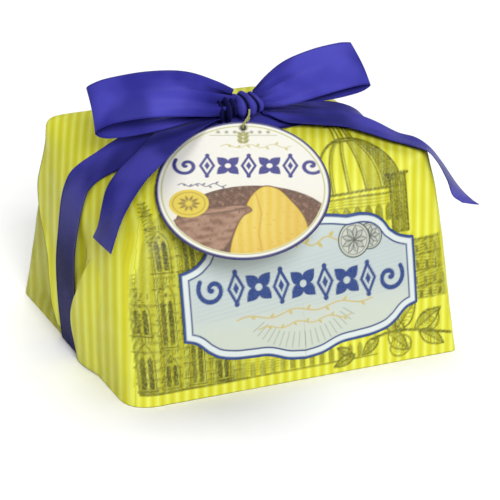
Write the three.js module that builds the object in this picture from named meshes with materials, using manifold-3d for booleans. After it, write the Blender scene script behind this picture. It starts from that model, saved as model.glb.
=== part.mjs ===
// A hand-wrapped panettone gift pack: a baked loaf in its paper case and clear bag on a card tray,
// wrapped in printed paper, tied round with a satin ribbon and bow, with a round hang tag and a
// cartouche label. Millimetres, +Z up, the pack stands on its flat underside.
import * as THREE from 'three';
import { mergeVertices } from 'three/addons/utils/BufferGeometryUtils.js';
import Module from 'manifold-3d';

const wasm = await Module();
wasm.setup();

// Driving dimensions of the wrapped pack.
const BASE_LENGTH = 262;
const BASE_DEPTH = 242;
const WALL_HEIGHT = 154;
const CROWN_HEIGHT = 174;
const END_TAPER = 12;
const FRONT_TAPER = 29;
const BACK_TAPER = 27;
const END_BULGE = 8;
const FACE_BULGE = 4;
const CROWN_FALL_TO_END = 17;
const CROWN_FALL_TO_FACE = 12;
const CORNER_LIFT = 13;
// Half the spans over which the end walls, the long walls and the crown curve.
const END_SPAN = 118;
const FACE_SPAN = 126;
const CROWN_SPAN = 92;
// The height of the middle that the skin is measured out from.
const MIDDLE_HEIGHT = 70;
// Roundings: of the four upright corners, the four top corners and the middles of the four top edges.
const UPRIGHT_ROUNDING = { frontLeft: 40, frontRight: 8, backLeft: 16, backRight: 20 };
const TOP_CORNER_ROUNDING = { frontLeft: 66, frontRight: 7, backLeft: 9, backRight: 34 };
const TOP_EDGE_ROUNDING = { front: 80, back: 52, left: 46, right: 44 };

// Paper, card and ribbon.
const PAPER = 1.2;
const UNDERSIDE_LAYERS = 2.6;
const GAP = 0.4;
const SKIN_GAP = 1.2;
const RIBBON_WIDTH = 40;
const RIBBON_THICK = 0.8;
const RIBBON_CHANNEL = 1.4;
const SEAL_RADIUS = 27;
const SEAL_THICK = 0.5;
const SEAL_PLACE = [0, 72];
const LAP_OPENING_RADIUS = 16;
const TRAY_THICK = 2;
const TRAY_RIM = 26;
const CASE_RADIUS = 86;
const CASE_HEIGHT = 92;
const CASE_WALL = 0.9;
const CASE_FLUTES = 36;
const LOAF_DOME = 44;
const BAG_GAP = 3.6;
const BAG_THICK = 0.8;
const BAG_NECK_RADIUS = 9;
const TAG_RADIUS = 62;
const TAG_THICK = 1.2;
const CORD_DIAMETER = 1.6;
const LABEL_THICK = 0.8;
const FLAP_THICK = 0.6;

const pack = new THREE.Group();

function finish(color, roughness, metalness = 0) {
  return new THREE.MeshStandardMaterial({ color, roughness, metalness });
}

const paperPrint = finish('#dcdc3c', 0.55);
const satin = finish('#3b3899', 0.45);
const whiteCard = finish('#f6f3e4', 0.7);
const greyBoard = finish('#b9b2a3', 0.9);
const brownPaper = finish('#6b4226', 0.85);
const crust = finish('#8a5224', 0.8);
const clearFilm = finish('#e8eef0', 0.15);
const cordGold = finish('#a7a04a', 0.5);
const wire = finish('#c9b25e', 0.4, 0.6);

function addPart(name, geometry, material) {
  const mesh = new THREE.Mesh(geometry, material);
  mesh.name = name;
  pack.add(mesh);
}

// ---------------------------------------------------------------- solids from points

function closedGeometry(points, triangles) {
  const geometry = new THREE.BufferGeometry();
  geometry.setAttribute('position', new THREE.Float32BufferAttribute(points.flat(), 3));
  geometry.setIndex(triangles.flat());
  return geometry;
}

function toSolid(geometry) {
  const plain = geometry.clone();
  plain.deleteAttribute('normal');
  plain.deleteAttribute('uv');
  const merged = mergeVertices(plain, 1e-4);
  return new wasm.Manifold(new wasm.Mesh({
    numProp: 3,
    vertProperties: new Float32Array(merged.attributes.position.array),
    triVerts: new Uint32Array(merged.index.array),
  }));
}

function toGeometry(solid) {
  const mesh = solid.getMesh();
  const geometry = new THREE.BufferGeometry();
  geometry.setAttribute('position', new THREE.BufferAttribute(mesh.vertProperties, 3));
  geometry.setIndex(new THREE.BufferAttribute(mesh.triVerts, 1));
  return geometry;
}

// Rings of equal length, each a list of points, joined into a skin. The first and last are capped
// with a fan round their middle point; a ring list that closes on itself has no caps.
function ringSolid(rings, closesOnItself = false) {
  const points = rings.flat();
  const count = rings[0].length;
  const triangles = [];
  const spans = closesOnItself ? rings.length : rings.length - 1;
  for (let i = 0; i < spans; i += 1) {
    const here = i * count;
    const next = ((i + 1) % rings.length) * count;
    for (let j = 0; j < count; j += 1) {
      const k = (j + 1) % count;
      triangles.push([here + j, here + k, next + k]);
      triangles.push([here + j, next + k, next + j]);
    }
  }
  if (!closesOnItself) {
    for (const [ring, outward] of [[0, false], [rings.length - 1, true]]) {
      const middle = [0, 1, 2].map((axis) =>
        rings[ring].reduce((sum, point) => sum + point[axis], 0) / count);
      points.push(middle);
      for (let j = 0; j < count; j += 1) {
        const a = ring * count + j;
        const b = ring * count + ((j + 1) % count);
        triangles.push(outward ? [a, b, points.length - 1] : [b, a, points.length - 1]);
      }
    }
  }
  return facingOut(closedGeometry(points, triangles));
}

// Turns a closed skin the right way out: its signed volume is positive when its faces point out.
function facingOut(geometry) {
  const position = geometry.attributes.position;
  const index = geometry.index.array;
  const [a, b, c] = [new THREE.Vector3(), new THREE.Vector3(), new THREE.Vector3()];
  let volume = 0;
  for (let i = 0; i < index.length; i += 3) {
    a.fromBufferAttribute(position, index[i]);
    b.fromBufferAttribute(position, index[i + 1]);
    c.fromBufferAttribute(position, index[i + 2]);
    volume += a.dot(b.cross(c));
  }
  if (volume < 0) geometry.setIndex(Array.from(index).reverse());
  return geometry;
}

// ---------------------------------------------------------------- the shape of the wrapped pack

// The larger of two distances, with the corner between them rounded by r.
function roundedMax(a, b, r) {
  const mix = THREE.MathUtils.clamp(0.5 + (0.5 * (a - b)) / r, 0, 1);
  return b + (a - b) * mix + r * mix * (1 - mix);
}

function corner(table, x, y) {
  if (y < 0) return x < 0 ? table.frontLeft : table.frontRight;
  return x < 0 ? table.backLeft : table.backRight;
}

// How far a point is outside the wrapped pack (negative inside): four walls that lean in and
// bulge, a domed crown, and soft edges that are roundest in the middle and crisp at the corners.
function packSkin(x, y, z) {
  const rise = z / WALL_HEIGHT;
  const bulge = Math.sin(Math.PI * THREE.MathUtils.clamp(z / (WALL_HEIGHT - 4), 0, 1));
  const endMiddle = 1 - (y / END_SPAN) ** 2;
  const faceMiddle = 1 - (x / FACE_SPAN) ** 2;
  const end = Math.abs(x) - (BASE_LENGTH / 2 - END_TAPER * rise + END_BULGE * bulge * endMiddle);
  const taper = y < 0 ? FRONT_TAPER : BACK_TAPER;
  const face = Math.abs(y) - (BASE_DEPTH / 2 - taper * rise + FACE_BULGE * bulge * faceMiddle);
  const uprightSoftening = 0.6 + 0.5 * THREE.MathUtils.clamp(rise, 0, 1.2);
  const side = roundedMax(end, face, corner(UPRIGHT_ROUNDING, x, y) * uprightSoftening);
  const u = Math.min(Math.abs(x) / END_SPAN, 1.1);
  const v = Math.min(Math.abs(y) / CROWN_SPAN, 1.1);
  const crown = CROWN_HEIGHT - CROWN_FALL_TO_END * u * u - CROWN_FALL_TO_FACE * v * v
    + CORNER_LIFT * u * u * v * v;
  const acrossEnds = x < 0 ? TOP_EDGE_ROUNDING.left : TOP_EDGE_ROUNDING.right;
  const acrossFaces = y < 0 ? TOP_EDGE_ROUNDING.front : TOP_EDGE_ROUNDING.back;
  const middle = (acrossEnds * u * u + acrossFaces * v * v) / (u * u + v * v + 1e-6);
  const nearCorner = Math.min(u * v, 1) ** 2;
  const rounding = middle + (corner(TOP_CORNER_ROUNDING, x, y) - middle) * nearCorner;
  return roundedMax(side, z - crown, rounding);
}

// The point on the level `off` of the pack's skin that a ray from `start` along `way` meets.
function onSkin(start, way, off) {
  let near = 0;
  let far = 300;
  for (let step = 0; step < 40; step += 1) {
    const reach = (near + far) / 2;
    const inside = packSkin(...start.map((value, axis) => value + way[axis] * reach)) < off;
    if (inside) near = reach;
    else far = reach;
  }
  return start.map((value, axis) => value + way[axis] * near);
}

// A closed solid of the pack's shape, moved out by `off`, standing on `floor`.
function packSolid(off, floor, columns, rows) {
  const rings = Array.from({ length: rows }, () => []);
  for (let column = 0; column < columns; column += 1) {
    const turn = (2 * Math.PI * (column + 0.5)) / columns;
    const squareX = Math.sign(Math.cos(turn)) * Math.abs(Math.cos(turn)) ** 0.6 * BASE_LENGTH;
    const squareY = Math.sign(Math.sin(turn)) * Math.abs(Math.sin(turn)) ** 0.6 * BASE_DEPTH;
    const size = Math.hypot(squareX, squareY);
    const [wayX, wayY] = [squareX / size, squareY / size];
    const foot = onSkin([0, 0, floor], [wayX, wayY, 0], off);
    const lowest = Math.atan2(floor - MIDDLE_HEIGHT, Math.hypot(foot[0], foot[1]));
    rings[0].push(foot);
    for (let row = 1; row < rows; row += 1) {
      const lift = lowest + ((Math.PI / 2 - lowest) * row) / rows;
      const way = [Math.cos(lift) * wayX, Math.cos(lift) * wayY, Math.sin(lift)];
      rings[row].push(onSkin([0, 0, MIDDLE_HEIGHT], way, off));
    }
  }
  return ringSolid(rings);
}

function upright(radius, height, x, y, z, sides = 40) {
  const geometry = new THREE.CylinderGeometry(radius, radius, height, sides);
  geometry.rotateX(Math.PI / 2);
  geometry.translate(x, y, z + height / 2);
  return geometry;
}

function block(sizeX, sizeY, sizeZ, x, y, z) {
  return new THREE.BoxGeometry(sizeX, sizeY, sizeZ).translate(x, y, z + sizeZ / 2);
}

// ---------------------------------------------------------------- wrapping paper

// The underside has a shallow channel that the ribbon lies in, a shallow place for the seal, and
// under the seal the small opening where the folds meet.
const [sealX, sealY] = SEAL_PLACE;
const sealRecess = SEAL_THICK + 2 * GAP;
const channelWidth = RIBBON_WIDTH + 3;
const ribbonChannel = block(2 * BASE_LENGTH, channelWidth, 2 * RIBBON_CHANNEL, 0, 0, -RIBBON_CHANNEL);
const sealPlace = upright(SEAL_RADIUS + 1, 2 * sealRecess, sealX, sealY, -sealRecess);
const lapOpening = upright(LAP_OPENING_RADIUS, 4 * UNDERSIDE_LAYERS, sealX, sealY, -UNDERSIDE_LAYERS);
const wrapSolid = toSolid(packSolid(0, 0, 64, 20))
  .subtract(toSolid(packSolid(-PAPER, UNDERSIDE_LAYERS, 48, 14)))
  .subtract(toSolid(ribbonChannel))
  .subtract(toSolid(sealPlace))
  .subtract(toSolid(lapOpening));
addPart('wrapping_paper', toGeometry(wrapSolid), paperPrint);
addPart('underside_seal', upright(SEAL_RADIUS, SEAL_THICK, sealX, sealY, GAP), whiteCard);

// A folded flap lies on each end wall, its free edge running down in an S.
const FLAP_EDGE = [
  [84, 147], [77, 124], [74, 100], [64, 86], [49, 74], [37, 62], [30, 40], [27, 8],
];

function endFlap(side) {
  const edge = new THREE.CatmullRomCurve3(FLAP_EDGE.map(([y, z]) => new THREE.Vector3(0, y, z)));
  const sections = [];
  const stations = 12;
  const across = 5;
  const innerEdge = RIBBON_WIDTH / 2 + 3;
  for (let i = 0; i <= stations; i += 1) {
    const point = edge.getPoint(i / stations);
    const inner = [];
    const outer = [];
    for (let j = 0; j <= across; j += 1) {
      const y = innerEdge + ((point.y - innerEdge) * j) / across;
      inner.push(onSkin([0, y, point.z], [side, 0, 0], SKIN_GAP));
      outer.push(onSkin([0, y, point.z], [side, 0, 0], SKIN_GAP + FLAP_THICK));
    }
    sections.push([...inner, ...outer.reverse()]);
  }
  return ringSolid(sections);
}

addPart('left_end_flap', endFlap(-1), paperPrint);
addPart('right_end_flap', endFlap(1), paperPrint);

// ---------------------------------------------------------------- tray, loaf, case and bag

function roundedPlan(sizeX, sizeY, radius) {
  const shape = new THREE.Shape();
  const [x, y] = [sizeX / 2, sizeY / 2];
  shape.moveTo(-x + radius, -y);
  shape.lineTo(x - radius, -y);
  shape.absarc(x - radius, -y + radius, radius, -Math.PI / 2, 0);
  shape.lineTo(x, y - radius);
  shape.absarc(x - radius, y - radius, radius, 0, Math.PI / 2);
  shape.lineTo(-x + radius, y);
  shape.absarc(-x + radius, y - radius, radius, Math.PI / 2, Math.PI);
  shape.lineTo(-x, -y + radius);
  shape.absarc(-x + radius, -y + radius, radius, Math.PI, 1.5 * Math.PI);
  return shape;
}

function slab(shape, depth, z, curveSegments = 5) {
  return new THREE.ExtrudeGeometry(shape, { depth, bevelEnabled: false, curveSegments })
    .translate(0, 0, z);
}

const trayFloor = UNDERSIDE_LAYERS + GAP;
const trayLength = BASE_LENGTH - 24;
const trayDepth = BASE_DEPTH - 26;
const trayCorner = 14;
const trayOutside = roundedPlan(trayLength, trayDepth, trayCorner);
const trayInside = roundedPlan(
  trayLength - 2 * TRAY_THICK, trayDepth - 2 * TRAY_THICK, trayCorner - TRAY_THICK,
);
const traySolid = toSolid(slab(trayOutside, TRAY_RIM, trayFloor))
  .subtract(toSolid(slab(trayInside, TRAY_RIM, trayFloor + TRAY_THICK)));
addPart('card_tray', toGeometry(traySolid), greyBoard);

const bagFloor = trayFloor + TRAY_THICK + GAP;
const caseFloor = bagFloor + BAG_THICK + GAP;
const loafFloor = caseFloor + CASE_WALL + GAP;

// The baking case is a paper cup whose wall is pressed into flutes.
function flutedRing(radius, depth, z) {
  const ring = [];
  const steps = CASE_FLUTES * 2;
  for (let i = 0; i < steps; i += 1) {
    const turn = (2 * Math.PI * i) / steps;
    const r = radius + (i % 2 ? -depth : 0);
    ring.push([r * Math.cos(turn), r * Math.sin(turn), z]);
  }
  return ring;
}

const FLUTE_DEPTH = 1.2;
const CASE_FLARE = 1.5;
const caseTop = caseFloor + CASE_HEIGHT;
const caseInnerRadius = CASE_RADIUS - CASE_WALL;
addPart('baking_case', ringSolid([
  flutedRing(CASE_RADIUS, FLUTE_DEPTH, caseFloor),
  flutedRing(CASE_RADIUS + CASE_FLARE, FLUTE_DEPTH, caseTop),
  flutedRing(caseInnerRadius + CASE_FLARE, FLUTE_DEPTH, caseTop),
  flutedRing(caseInnerRadius, FLUTE_DEPTH, caseFloor + CASE_WALL),
]), brownPaper);

// The loaf rises out of its case in a low dome with a rounded shoulder over the rim.
const loafRadius = caseInnerRadius - FLUTE_DEPTH - GAP;
const loafShoulder = caseTop - 2;
const loafTop = loafShoulder + LOAF_DOME;
const domeSteps = 10;
const loafProfile = [[0, loafFloor], [loafRadius - 3, loafFloor], [loafRadius, loafFloor + 4]];
for (let i = 0; i < domeSteps; i += 1) {
  const turn = (Math.PI / 2) * (i / domeSteps);
  loafProfile.push([loafRadius * Math.cos(turn) ** 0.7, loafShoulder + LOAF_DOME * Math.sin(turn)]);
}
loafProfile.push([0, loafTop]);

function turned(profile, sides) {
  const points = profile.map(([r, z]) => new THREE.Vector2(r, z));
  return new THREE.LatheGeometry(points, sides).rotateX(Math.PI / 2);
}
addPart('panettone_loaf', turned(loafProfile, 36), crust);

// A clear bag stands round the case and the loaf, gathered into an open neck above the crown.
const bagInner = CASE_RADIUS + CASE_FLARE + BAG_GAP;
const bagCrown = loafTop + 2;
function bagProfile(off) {
  const floor = bagFloor + BAG_THICK - off;
  const points = [[0, floor], [bagInner - 4 + off, floor], [bagInner + off, floor + 4]];
  points.push([bagInner + off, caseTop]);
  for (let i = 1; i <= 4; i += 1) {
    const turn = (Math.PI / 2) * (i / 5);
    const r = Math.max(bagInner * Math.cos(turn) ** 0.7, BAG_NECK_RADIUS);
    points.push([r + off, caseTop + (bagCrown - caseTop) * Math.sin(turn)]);
  }
  points.push([BAG_NECK_RADIUS + off, bagCrown + 1]);
  points.push([BAG_NECK_RADIUS + off, bagCrown + 7]);
  points.push([BAG_NECK_RADIUS + 4 + off, bagCrown + 13]);
  return points;
}
addPart('clear_bag', turned([...bagProfile(BAG_THICK), ...bagProfile(0).reverse()], 32), clearFilm);

const TIE_WIRE_RADIUS = 1;
const tieRadius = BAG_NECK_RADIUS + BAG_THICK + GAP + 1.2 * TIE_WIRE_RADIUS;
const tie = new THREE.TorusGeometry(tieRadius, TIE_WIRE_RADIUS, 6, 24).translate(0, 0, bagCrown + 4);
addPart('bag_tie', tie, wire);

// ---------------------------------------------------------------- ribbon

// The band runs once round the pack, over the crown, down both ends and under the base. On the
// crown it is drawn forward to the knot.
const KNOT = [-2, -27, 183];
const KNOT_HALF = [12, 14, 7.5];

function bandDrift(z) {
  return KNOT[1] * THREE.MathUtils.smoothstep(z, 128, 166);
}

function bandSection(turn, off, floor) {
  const points = [];
  const strands = 4;
  const way = [Math.cos(turn), 0, Math.sin(turn)];
  for (let j = 0; j <= strands; j += 1) {
    const side = (j / strands - 0.5) * RIBBON_WIDTH;
    const plumb = onSkin([0, side, MIDDLE_HEIGHT], way, off);
    let point = onSkin([0, side + bandDrift(plumb[2]), MIDDLE_HEIGHT], way, off);
    if (point[2] < floor) {
      const reach = (floor - MIDDLE_HEIGHT) / way[2];
      const wall = onSkin([0, side, floor], [Math.sign(way[0]), 0, 0], off)[0];
      const x = THREE.MathUtils.clamp(way[0] * reach, -Math.abs(wall), Math.abs(wall));
      point = [x, side, floor];
    }
    points.push(point);
  }
  return points;
}

const bandRings = [];
const BAND_STEPS = 56;
const footTurn = Math.atan2(-MIDDLE_HEIGHT, BASE_LENGTH / 2 + SKIN_GAP + RIBBON_THICK / 2);
for (let i = 0; i <= BAND_STEPS; i += 1) {
  const turn = footTurn + ((Math.PI - 2 * footTurn) * i) / BAND_STEPS;
  const inner = bandSection(turn, SKIN_GAP, RIBBON_THICK);
  const outer = bandSection(turn, SKIN_GAP + RIBBON_THICK, 0);
  bandRings.push([...inner, ...outer.reverse()]);
}
addPart('ribbon_band', ringSolid(bandRings, true), satin);

// A ribbon strip from its two edges: each station gives a point on one edge and on the other.
function strip(stations, steps) {
  const edges = [0, 1].map((side) =>
    new THREE.CatmullRomCurve3(stations.map((station) => new THREE.Vector3(...station[side]))));
  const sections = [];
  for (let i = 0; i <= steps; i += 1) {
    const [left, right] = edges.map((edge) => edge.getPoint(i / steps));
    const [leftWay, rightWay] = edges.map((edge) => edge.getTangent(i / steps));
    const along = leftWay.add(rightWay).normalize();
    const normal = right.clone().sub(left).cross(along).normalize().multiplyScalar(RIBBON_THICK / 2);
    sections.push([
      left.clone().add(normal), right.clone().add(normal),
      right.clone().sub(normal), left.clone().sub(normal),
    ].map((point) => point.toArray()));
  }
  return ringSolid(sections);
}

// A bow loop: an arched upper strand, a rounded end and a flatter strand back to the knot.
// Each row is: how far out, how high, how wide.
const LOOP_COURSE = [
  [0.0, 2.5, 18], [0.15, 8, 30], [0.35, 15, 38], [0.6, 17, 40], [0.8, 14, 40], [0.93, 9, 40],
  [1.0, 1, 40], [0.94, -6, 40], [0.8, -7, 40], [0.55, -3, 38], [0.3, 1, 30], [0.0, -1.5, 18],
];

function bowLoop({ root, out, across, length, fullness }) {
  const way = new THREE.Vector3(...out).normalize();
  const width = new THREE.Vector3(...across);
  width.addScaledVector(way, -width.dot(way)).normalize();
  const up = way.clone().cross(width);
  if (up.z < 0) up.negate();
  const stations = LOOP_COURSE.map(([reach, height, wide]) => {
    const middle = new THREE.Vector3(...root).addScaledVector(way, reach * length)
      .addScaledVector(up, height * fullness);
    const half = width.clone().multiplyScalar(wide / 2);
    return [middle.clone().sub(half).toArray(), middle.clone().add(half).toArray()];
  });
  return strip(stations, 44);
}

const loopRoot = KNOT_HALF[0] + 1.4;
const LEFT_LOOP = {
  root: [KNOT[0] - loopRoot, KNOT[1], KNOT[2] + 2.5],
  out: [-0.986, 0.13, 0.03],
  across: [-0.165, -0.781, -0.602],
  length: 102,
  fullness: 1,
};
const RIGHT_LOOP = {
  root: [KNOT[0] + loopRoot, KNOT[1], KNOT[2] + 2.5],
  out: [0.9, -0.21, 0.268],
  across: [-0.045, -0.8, -0.6],
  length: 82,
  fullness: 0.5,
};
addPart('bow_loop_left', bowLoop(LEFT_LOOP), satin);
addPart('bow_loop_right', bowLoop(RIGHT_LOOP), satin);

// The front tail hangs over the front left corner and ends in a slanted cut.
const FRONT_TAIL = [
  [[-15, -17, 176.4], [-15, -34, 176]], [[-33, -18, 176.3], [-33, -43, 178]],
  [[-68, -26, 173], [-62, -62, 174.5]], [[-96, -47, 165], [-90, -83, 166]],
  [[-111, -53, 155], [-105, -90, 159]], [[-121, -57, 145], [-113, -93, 152]],
  [[-128, -63, 134], [-120, -98, 145]], [[-133, -67, 121], [-128, -102, 134]],
  [[-135, -65, 113], [-136, -102, 114]],
];
addPart('ribbon_tail_front', strip(FRONT_TAIL, 26), satin);

// The side tail lies over the crown to the right, turns edge-on and curls out past the corner.
const SIDE_TAIL = [
  [[11.4, -34, 176.2], [11.4, -20, 176.6]], [[21, -50, 173.2], [36, -22, 177]],
  [[41, -56, 171], [60, -25, 176]], [[64, -62, 168], [83, -29, 170]],
  [[76, -71, 164.5], [98, -41, 165]], [[94, -80, 161], [114, -48, 157]],
  [[104, -88, 159.5], [122, -61, 154]], [[112, -101, 157], [126, -74, 149]],
  [[116, -110, 148], [135, -78, 136]], [[122, -112, 135], [148, -84, 116]],
  [[131, -106, 118], [159, -86, 105]], [[140, -104, 111], [163, -90, 102]],
];
addPart('ribbon_tail_side', strip(SIDE_TAIL, 34), satin);

// The knot is a snug turn of ribbon, rounded all over, flat where it sits on the band.
function knotSolid() {
  const rings = [];
  const rows = 9;
  const columns = 20;
  for (let row = 0; row < rows; row += 1) {
    const lift = -1 + (2 * (row + 0.5)) / rows;
    const swell = (1 - Math.abs(lift) ** 3) ** 0.4;
    const ring = [];
    for (let column = 0; column < columns; column += 1) {
      const turn = (2 * Math.PI * column) / columns;
      const squareX = Math.sign(Math.cos(turn)) * Math.abs(Math.cos(turn)) ** 0.6;
      const squareY = Math.sign(Math.sin(turn)) * Math.abs(Math.sin(turn)) ** 0.6;
      ring.push([
        KNOT[0] + KNOT_HALF[0] * swell * squareX,
        KNOT[1] + KNOT_HALF[1] * swell * squareY,
        KNOT[2] + KNOT_HALF[2] * lift,
      ]);
    }
    rings.push(ring);
  }
  return ringSolid(rings);
}
addPart('bow_knot', knotSolid(), satin);

// ---------------------------------------------------------------- hang tag and its cord

const TAG_TURN = THREE.MathUtils.degToRad(-23.6);
const TAG_LEAN = THREE.MathUtils.degToRad(58.5);
const TAG_CENTRE = [-35, -100.5, 145.9];
const HOLE_RADIUS = 2.6;
const HOLE_INSET = 6;

const tagOutline = new THREE.Shape();
tagOutline.absarc(0, 0, TAG_RADIUS, 0, 2 * Math.PI);
const hole = new THREE.Path();
hole.absarc(0, TAG_RADIUS - HOLE_INSET, HOLE_RADIUS, 0, 2 * Math.PI);
tagOutline.holes.push(hole);
const tagPose = new THREE.Matrix4().makeTranslation(...TAG_CENTRE)
  .multiply(new THREE.Matrix4().makeRotationZ(TAG_TURN))
  .multiply(new THREE.Matrix4().makeRotationX(Math.PI / 2 - TAG_LEAN));
addPart('hang_tag', slab(tagOutline, TAG_THICK, 0, 32).applyMatrix4(tagPose), whiteCard);

// The cord leaves the knot, passes down through the hole and comes back up under the tag.
function besideHole(off) {
  return new THREE.Vector3(0, TAG_RADIUS - HOLE_INSET, TAG_THICK / 2 + off).applyMatrix4(tagPose);
}
const knotFront = KNOT[1] - KNOT_HALF[1];
const cordRoute = new THREE.CatmullRomCurve3([
  new THREE.Vector3(KNOT[0] - 3, knotFront - 2, KNOT[2] + 1),
  new THREE.Vector3(KNOT[0] - 6, knotFront - 8, KNOT[2] - 1),
  besideHole(3.2),
  besideHole(0),
  besideHole(-2.6),
  new THREE.Vector3(KNOT[0] - 8, knotFront - 7, KNOT[2] - 7.5),
  new THREE.Vector3(KNOT[0] - 3, knotFront - 2, KNOT[2] - 5),
]);
const cordSection = new THREE.Shape();
cordSection.absarc(0, 0, CORD_DIAMETER / 2, 0, 2 * Math.PI);
addPart('tag_cord', new THREE.ExtrudeGeometry(cordSection, {
  steps: 24, curveSegments: 8, bevelEnabled: false, extrudePath: cordRoute,
}), cordGold);

// ---------------------------------------------------------------- label on the front face

// The cartouche's right half, from its top middle clockwise to its bottom middle.
const LABEL_CENTRE = [6, 67];
const LABEL_HALF = [
  [0, 51], [14, 51], [28, 50], [40, 48], [52, 48.5], [62, 46], [69, 41], [74, 34], [80, 29.5],
  [88, 26.5], [93, 22], [93, -22], [88, -25], [80, -28], [76, -34], [68, -39], [56, -42],
  [42, -43], [28, -44], [14, -49], [0, -51],
];

const labelOutline = [
  ...LABEL_HALF,
  ...LABEL_HALF.slice(1, -1).reverse().map(([x, z]) => [-x, z]),
];

// The label's outline, shrunk to `scale` and laid on the front face at the distance `off`.
function labelRing(scale, off) {
  return labelOutline.map(([x, z]) =>
    onSkin([LABEL_CENTRE[0] + x * scale, 0, LABEL_CENTRE[1] + z * scale], [0, -1, 0], off));
}

const labelBack = [0.25, 0.5, 0.75, 1].map((scale) => labelRing(scale, GAP));
const labelFront = [1, 0.75, 0.5, 0.25].map((scale) => labelRing(scale, GAP + LABEL_THICK));
const labelSolid = ringSolid([...labelBack, ...labelFront]);
addPart('front_label', labelSolid, whiteCard);

// The frame's origin is under the middle of the whole pack's bounding box.
const bounds = new THREE.Box3().setFromObject(pack);
const middle = bounds.getCenter(new THREE.Vector3());
pack.position.set(-middle.x, -middle.y, -bounds.min.z);

export default pack;
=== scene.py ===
"""Looks of a gift-wrapped panettone pack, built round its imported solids: striped and printed gift
paper, a satin ribbon with its bow, a round hang tag on a cord, a shaped front label, and inside
them the tray, the loaf in its case and the clear bag. Shapes are worked out in millimetres from
the middle of the pack's base, with -Y the label's side, and placed in metres."""

import math

import bpy
import numpy as np
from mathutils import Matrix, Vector


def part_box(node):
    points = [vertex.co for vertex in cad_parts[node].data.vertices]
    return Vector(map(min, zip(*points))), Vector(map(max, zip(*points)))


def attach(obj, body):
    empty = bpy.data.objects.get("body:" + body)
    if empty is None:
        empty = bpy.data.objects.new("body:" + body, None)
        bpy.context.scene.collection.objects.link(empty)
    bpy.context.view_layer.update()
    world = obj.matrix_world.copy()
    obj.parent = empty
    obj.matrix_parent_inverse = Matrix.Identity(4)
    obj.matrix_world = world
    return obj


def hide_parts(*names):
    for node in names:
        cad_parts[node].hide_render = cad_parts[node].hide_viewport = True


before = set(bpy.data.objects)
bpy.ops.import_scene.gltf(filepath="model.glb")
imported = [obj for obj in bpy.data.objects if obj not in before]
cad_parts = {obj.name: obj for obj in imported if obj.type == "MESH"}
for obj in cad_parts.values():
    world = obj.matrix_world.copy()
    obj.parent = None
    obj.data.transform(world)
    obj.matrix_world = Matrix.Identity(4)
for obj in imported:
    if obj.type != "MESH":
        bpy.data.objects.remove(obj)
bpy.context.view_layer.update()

MM = 0.001
tray_low, tray_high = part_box("card_tray")
PACK_MIDDLE = np.array([(tray_low.x + tray_high.x) / 2, (tray_low.y + tray_high.y) / 2, 0.0])


def placed(points):
    """Millimetres from the middle of the pack's base, as metres in the frame."""
    return np.asarray(points, float) * MM + PACK_MIDDLE


# ------------------------------------------------------------------ camera, light and floor

CAMERA_TURN = math.radians(-23.64)
CAMERA_LIFT = math.radians(21.79)
CAMERA_REACH = 1689.56
CAMERA_TARGET = (14.34, 0, 55.54)
CAMERA_LENS = 158.4


def look_from(thing, place, target):
    """Puts a camera or light at `place`, facing `target`, both in the frame's metres."""
    thing.location = place
    thing.rotation_euler = (Vector(target) - Vector(place)).to_track_quat("-Z", "Y").to_euler()


def make_camera():
    """A long lens from the front left, a little above the pack."""
    camera = bpy.data.objects.new("camera", bpy.data.cameras.new("camera"))
    camera.data.lens = CAMERA_LENS
    camera.data.sensor_width = 36
    bpy.context.scene.collection.objects.link(camera)
    target = placed(CAMERA_TARGET)
    back = np.array([
        math.sin(CAMERA_TURN) * math.cos(CAMERA_LIFT),
        -math.cos(CAMERA_TURN) * math.cos(CAMERA_LIFT),
        math.sin(CAMERA_LIFT),
    ])
    look_from(camera, target + back * CAMERA_REACH * MM, target)
    bpy.context.scene.camera = camera


def make_light(name, way, strength, softness):
    """A distant softbox: light from `way`, its apparent size given in degrees."""
    lamp = bpy.data.lights.new(name, "SUN")
    lamp.angle = math.radians(softness)
    lamp.energy = strength
    light = bpy.data.objects.new(name, lamp)
    bpy.context.scene.collection.objects.link(light)
    look_from(light, way, (0, 0, 0))


def make_studio():
    """A white room lit mostly from the front and from above, so that the ends fall into half
    shade and the pack stands on a thin soft shadow."""
    bpy.context.scene.view_settings.view_transform = "Standard"
    world = bpy.data.worlds.new("white_room")
    world.use_nodes = True
    background = world.node_tree.nodes["Background"]
    background.inputs["Color"].default_value = (1, 1, 1, 1)
    background.inputs["Strength"].default_value = 0.2
    bpy.context.scene.world = world
    make_light("front_softbox", (-0.3, -1.75, 1.1), 2.65, 22)
    make_light("top_softbox", (0.25, 0.4, 1.4), 1.6, 42)


# ------------------------------------------------------------------ colours and shader nodes

def linear(hex_colour):
    """An sRGB hex colour as linear red, green and blue."""
    parts = [int(hex_colour[i:i + 2], 16) / 255 for i in (1, 3, 5)]
    return tuple(p / 12.92 if p <= 0.04045 else ((p + 0.055) / 1.055) ** 2.4 for p in parts)


def opaque(hex_colour):
    """The colour as a socket takes it, with full alpha."""
    return (*linear(hex_colour), 1.0)


def add_node(material, kind, inputs=None, **settings):
    """Adds a node with its settings, and gives each named input a value or another node's output."""
    made = material.node_tree.nodes.new(kind)
    for name, value in settings.items():
        setattr(made, name, value)
    for socket, value in (inputs or {}).items():
        if isinstance(value, bpy.types.NodeSocket):
            material.node_tree.links.new(value, made.inputs[socket])
        else:
            made.inputs[socket].default_value = value
    return made


def new_material(name, **surface):
    """A material with its own Principled surface; `surface` sets sockets, spaces written as _."""
    material = bpy.data.materials.new(name)
    material.use_nodes = True
    shader = material.node_tree.nodes["Principled BSDF"]
    for socket, value in surface.items():
        shader.inputs[socket.replace("_", " ")].default_value = value
    return material, shader


def join(material, output, shader, socket):
    """Feeds a node's output into one of the surface's sockets."""
    material.node_tree.links.new(output, shader.inputs[socket])


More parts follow.
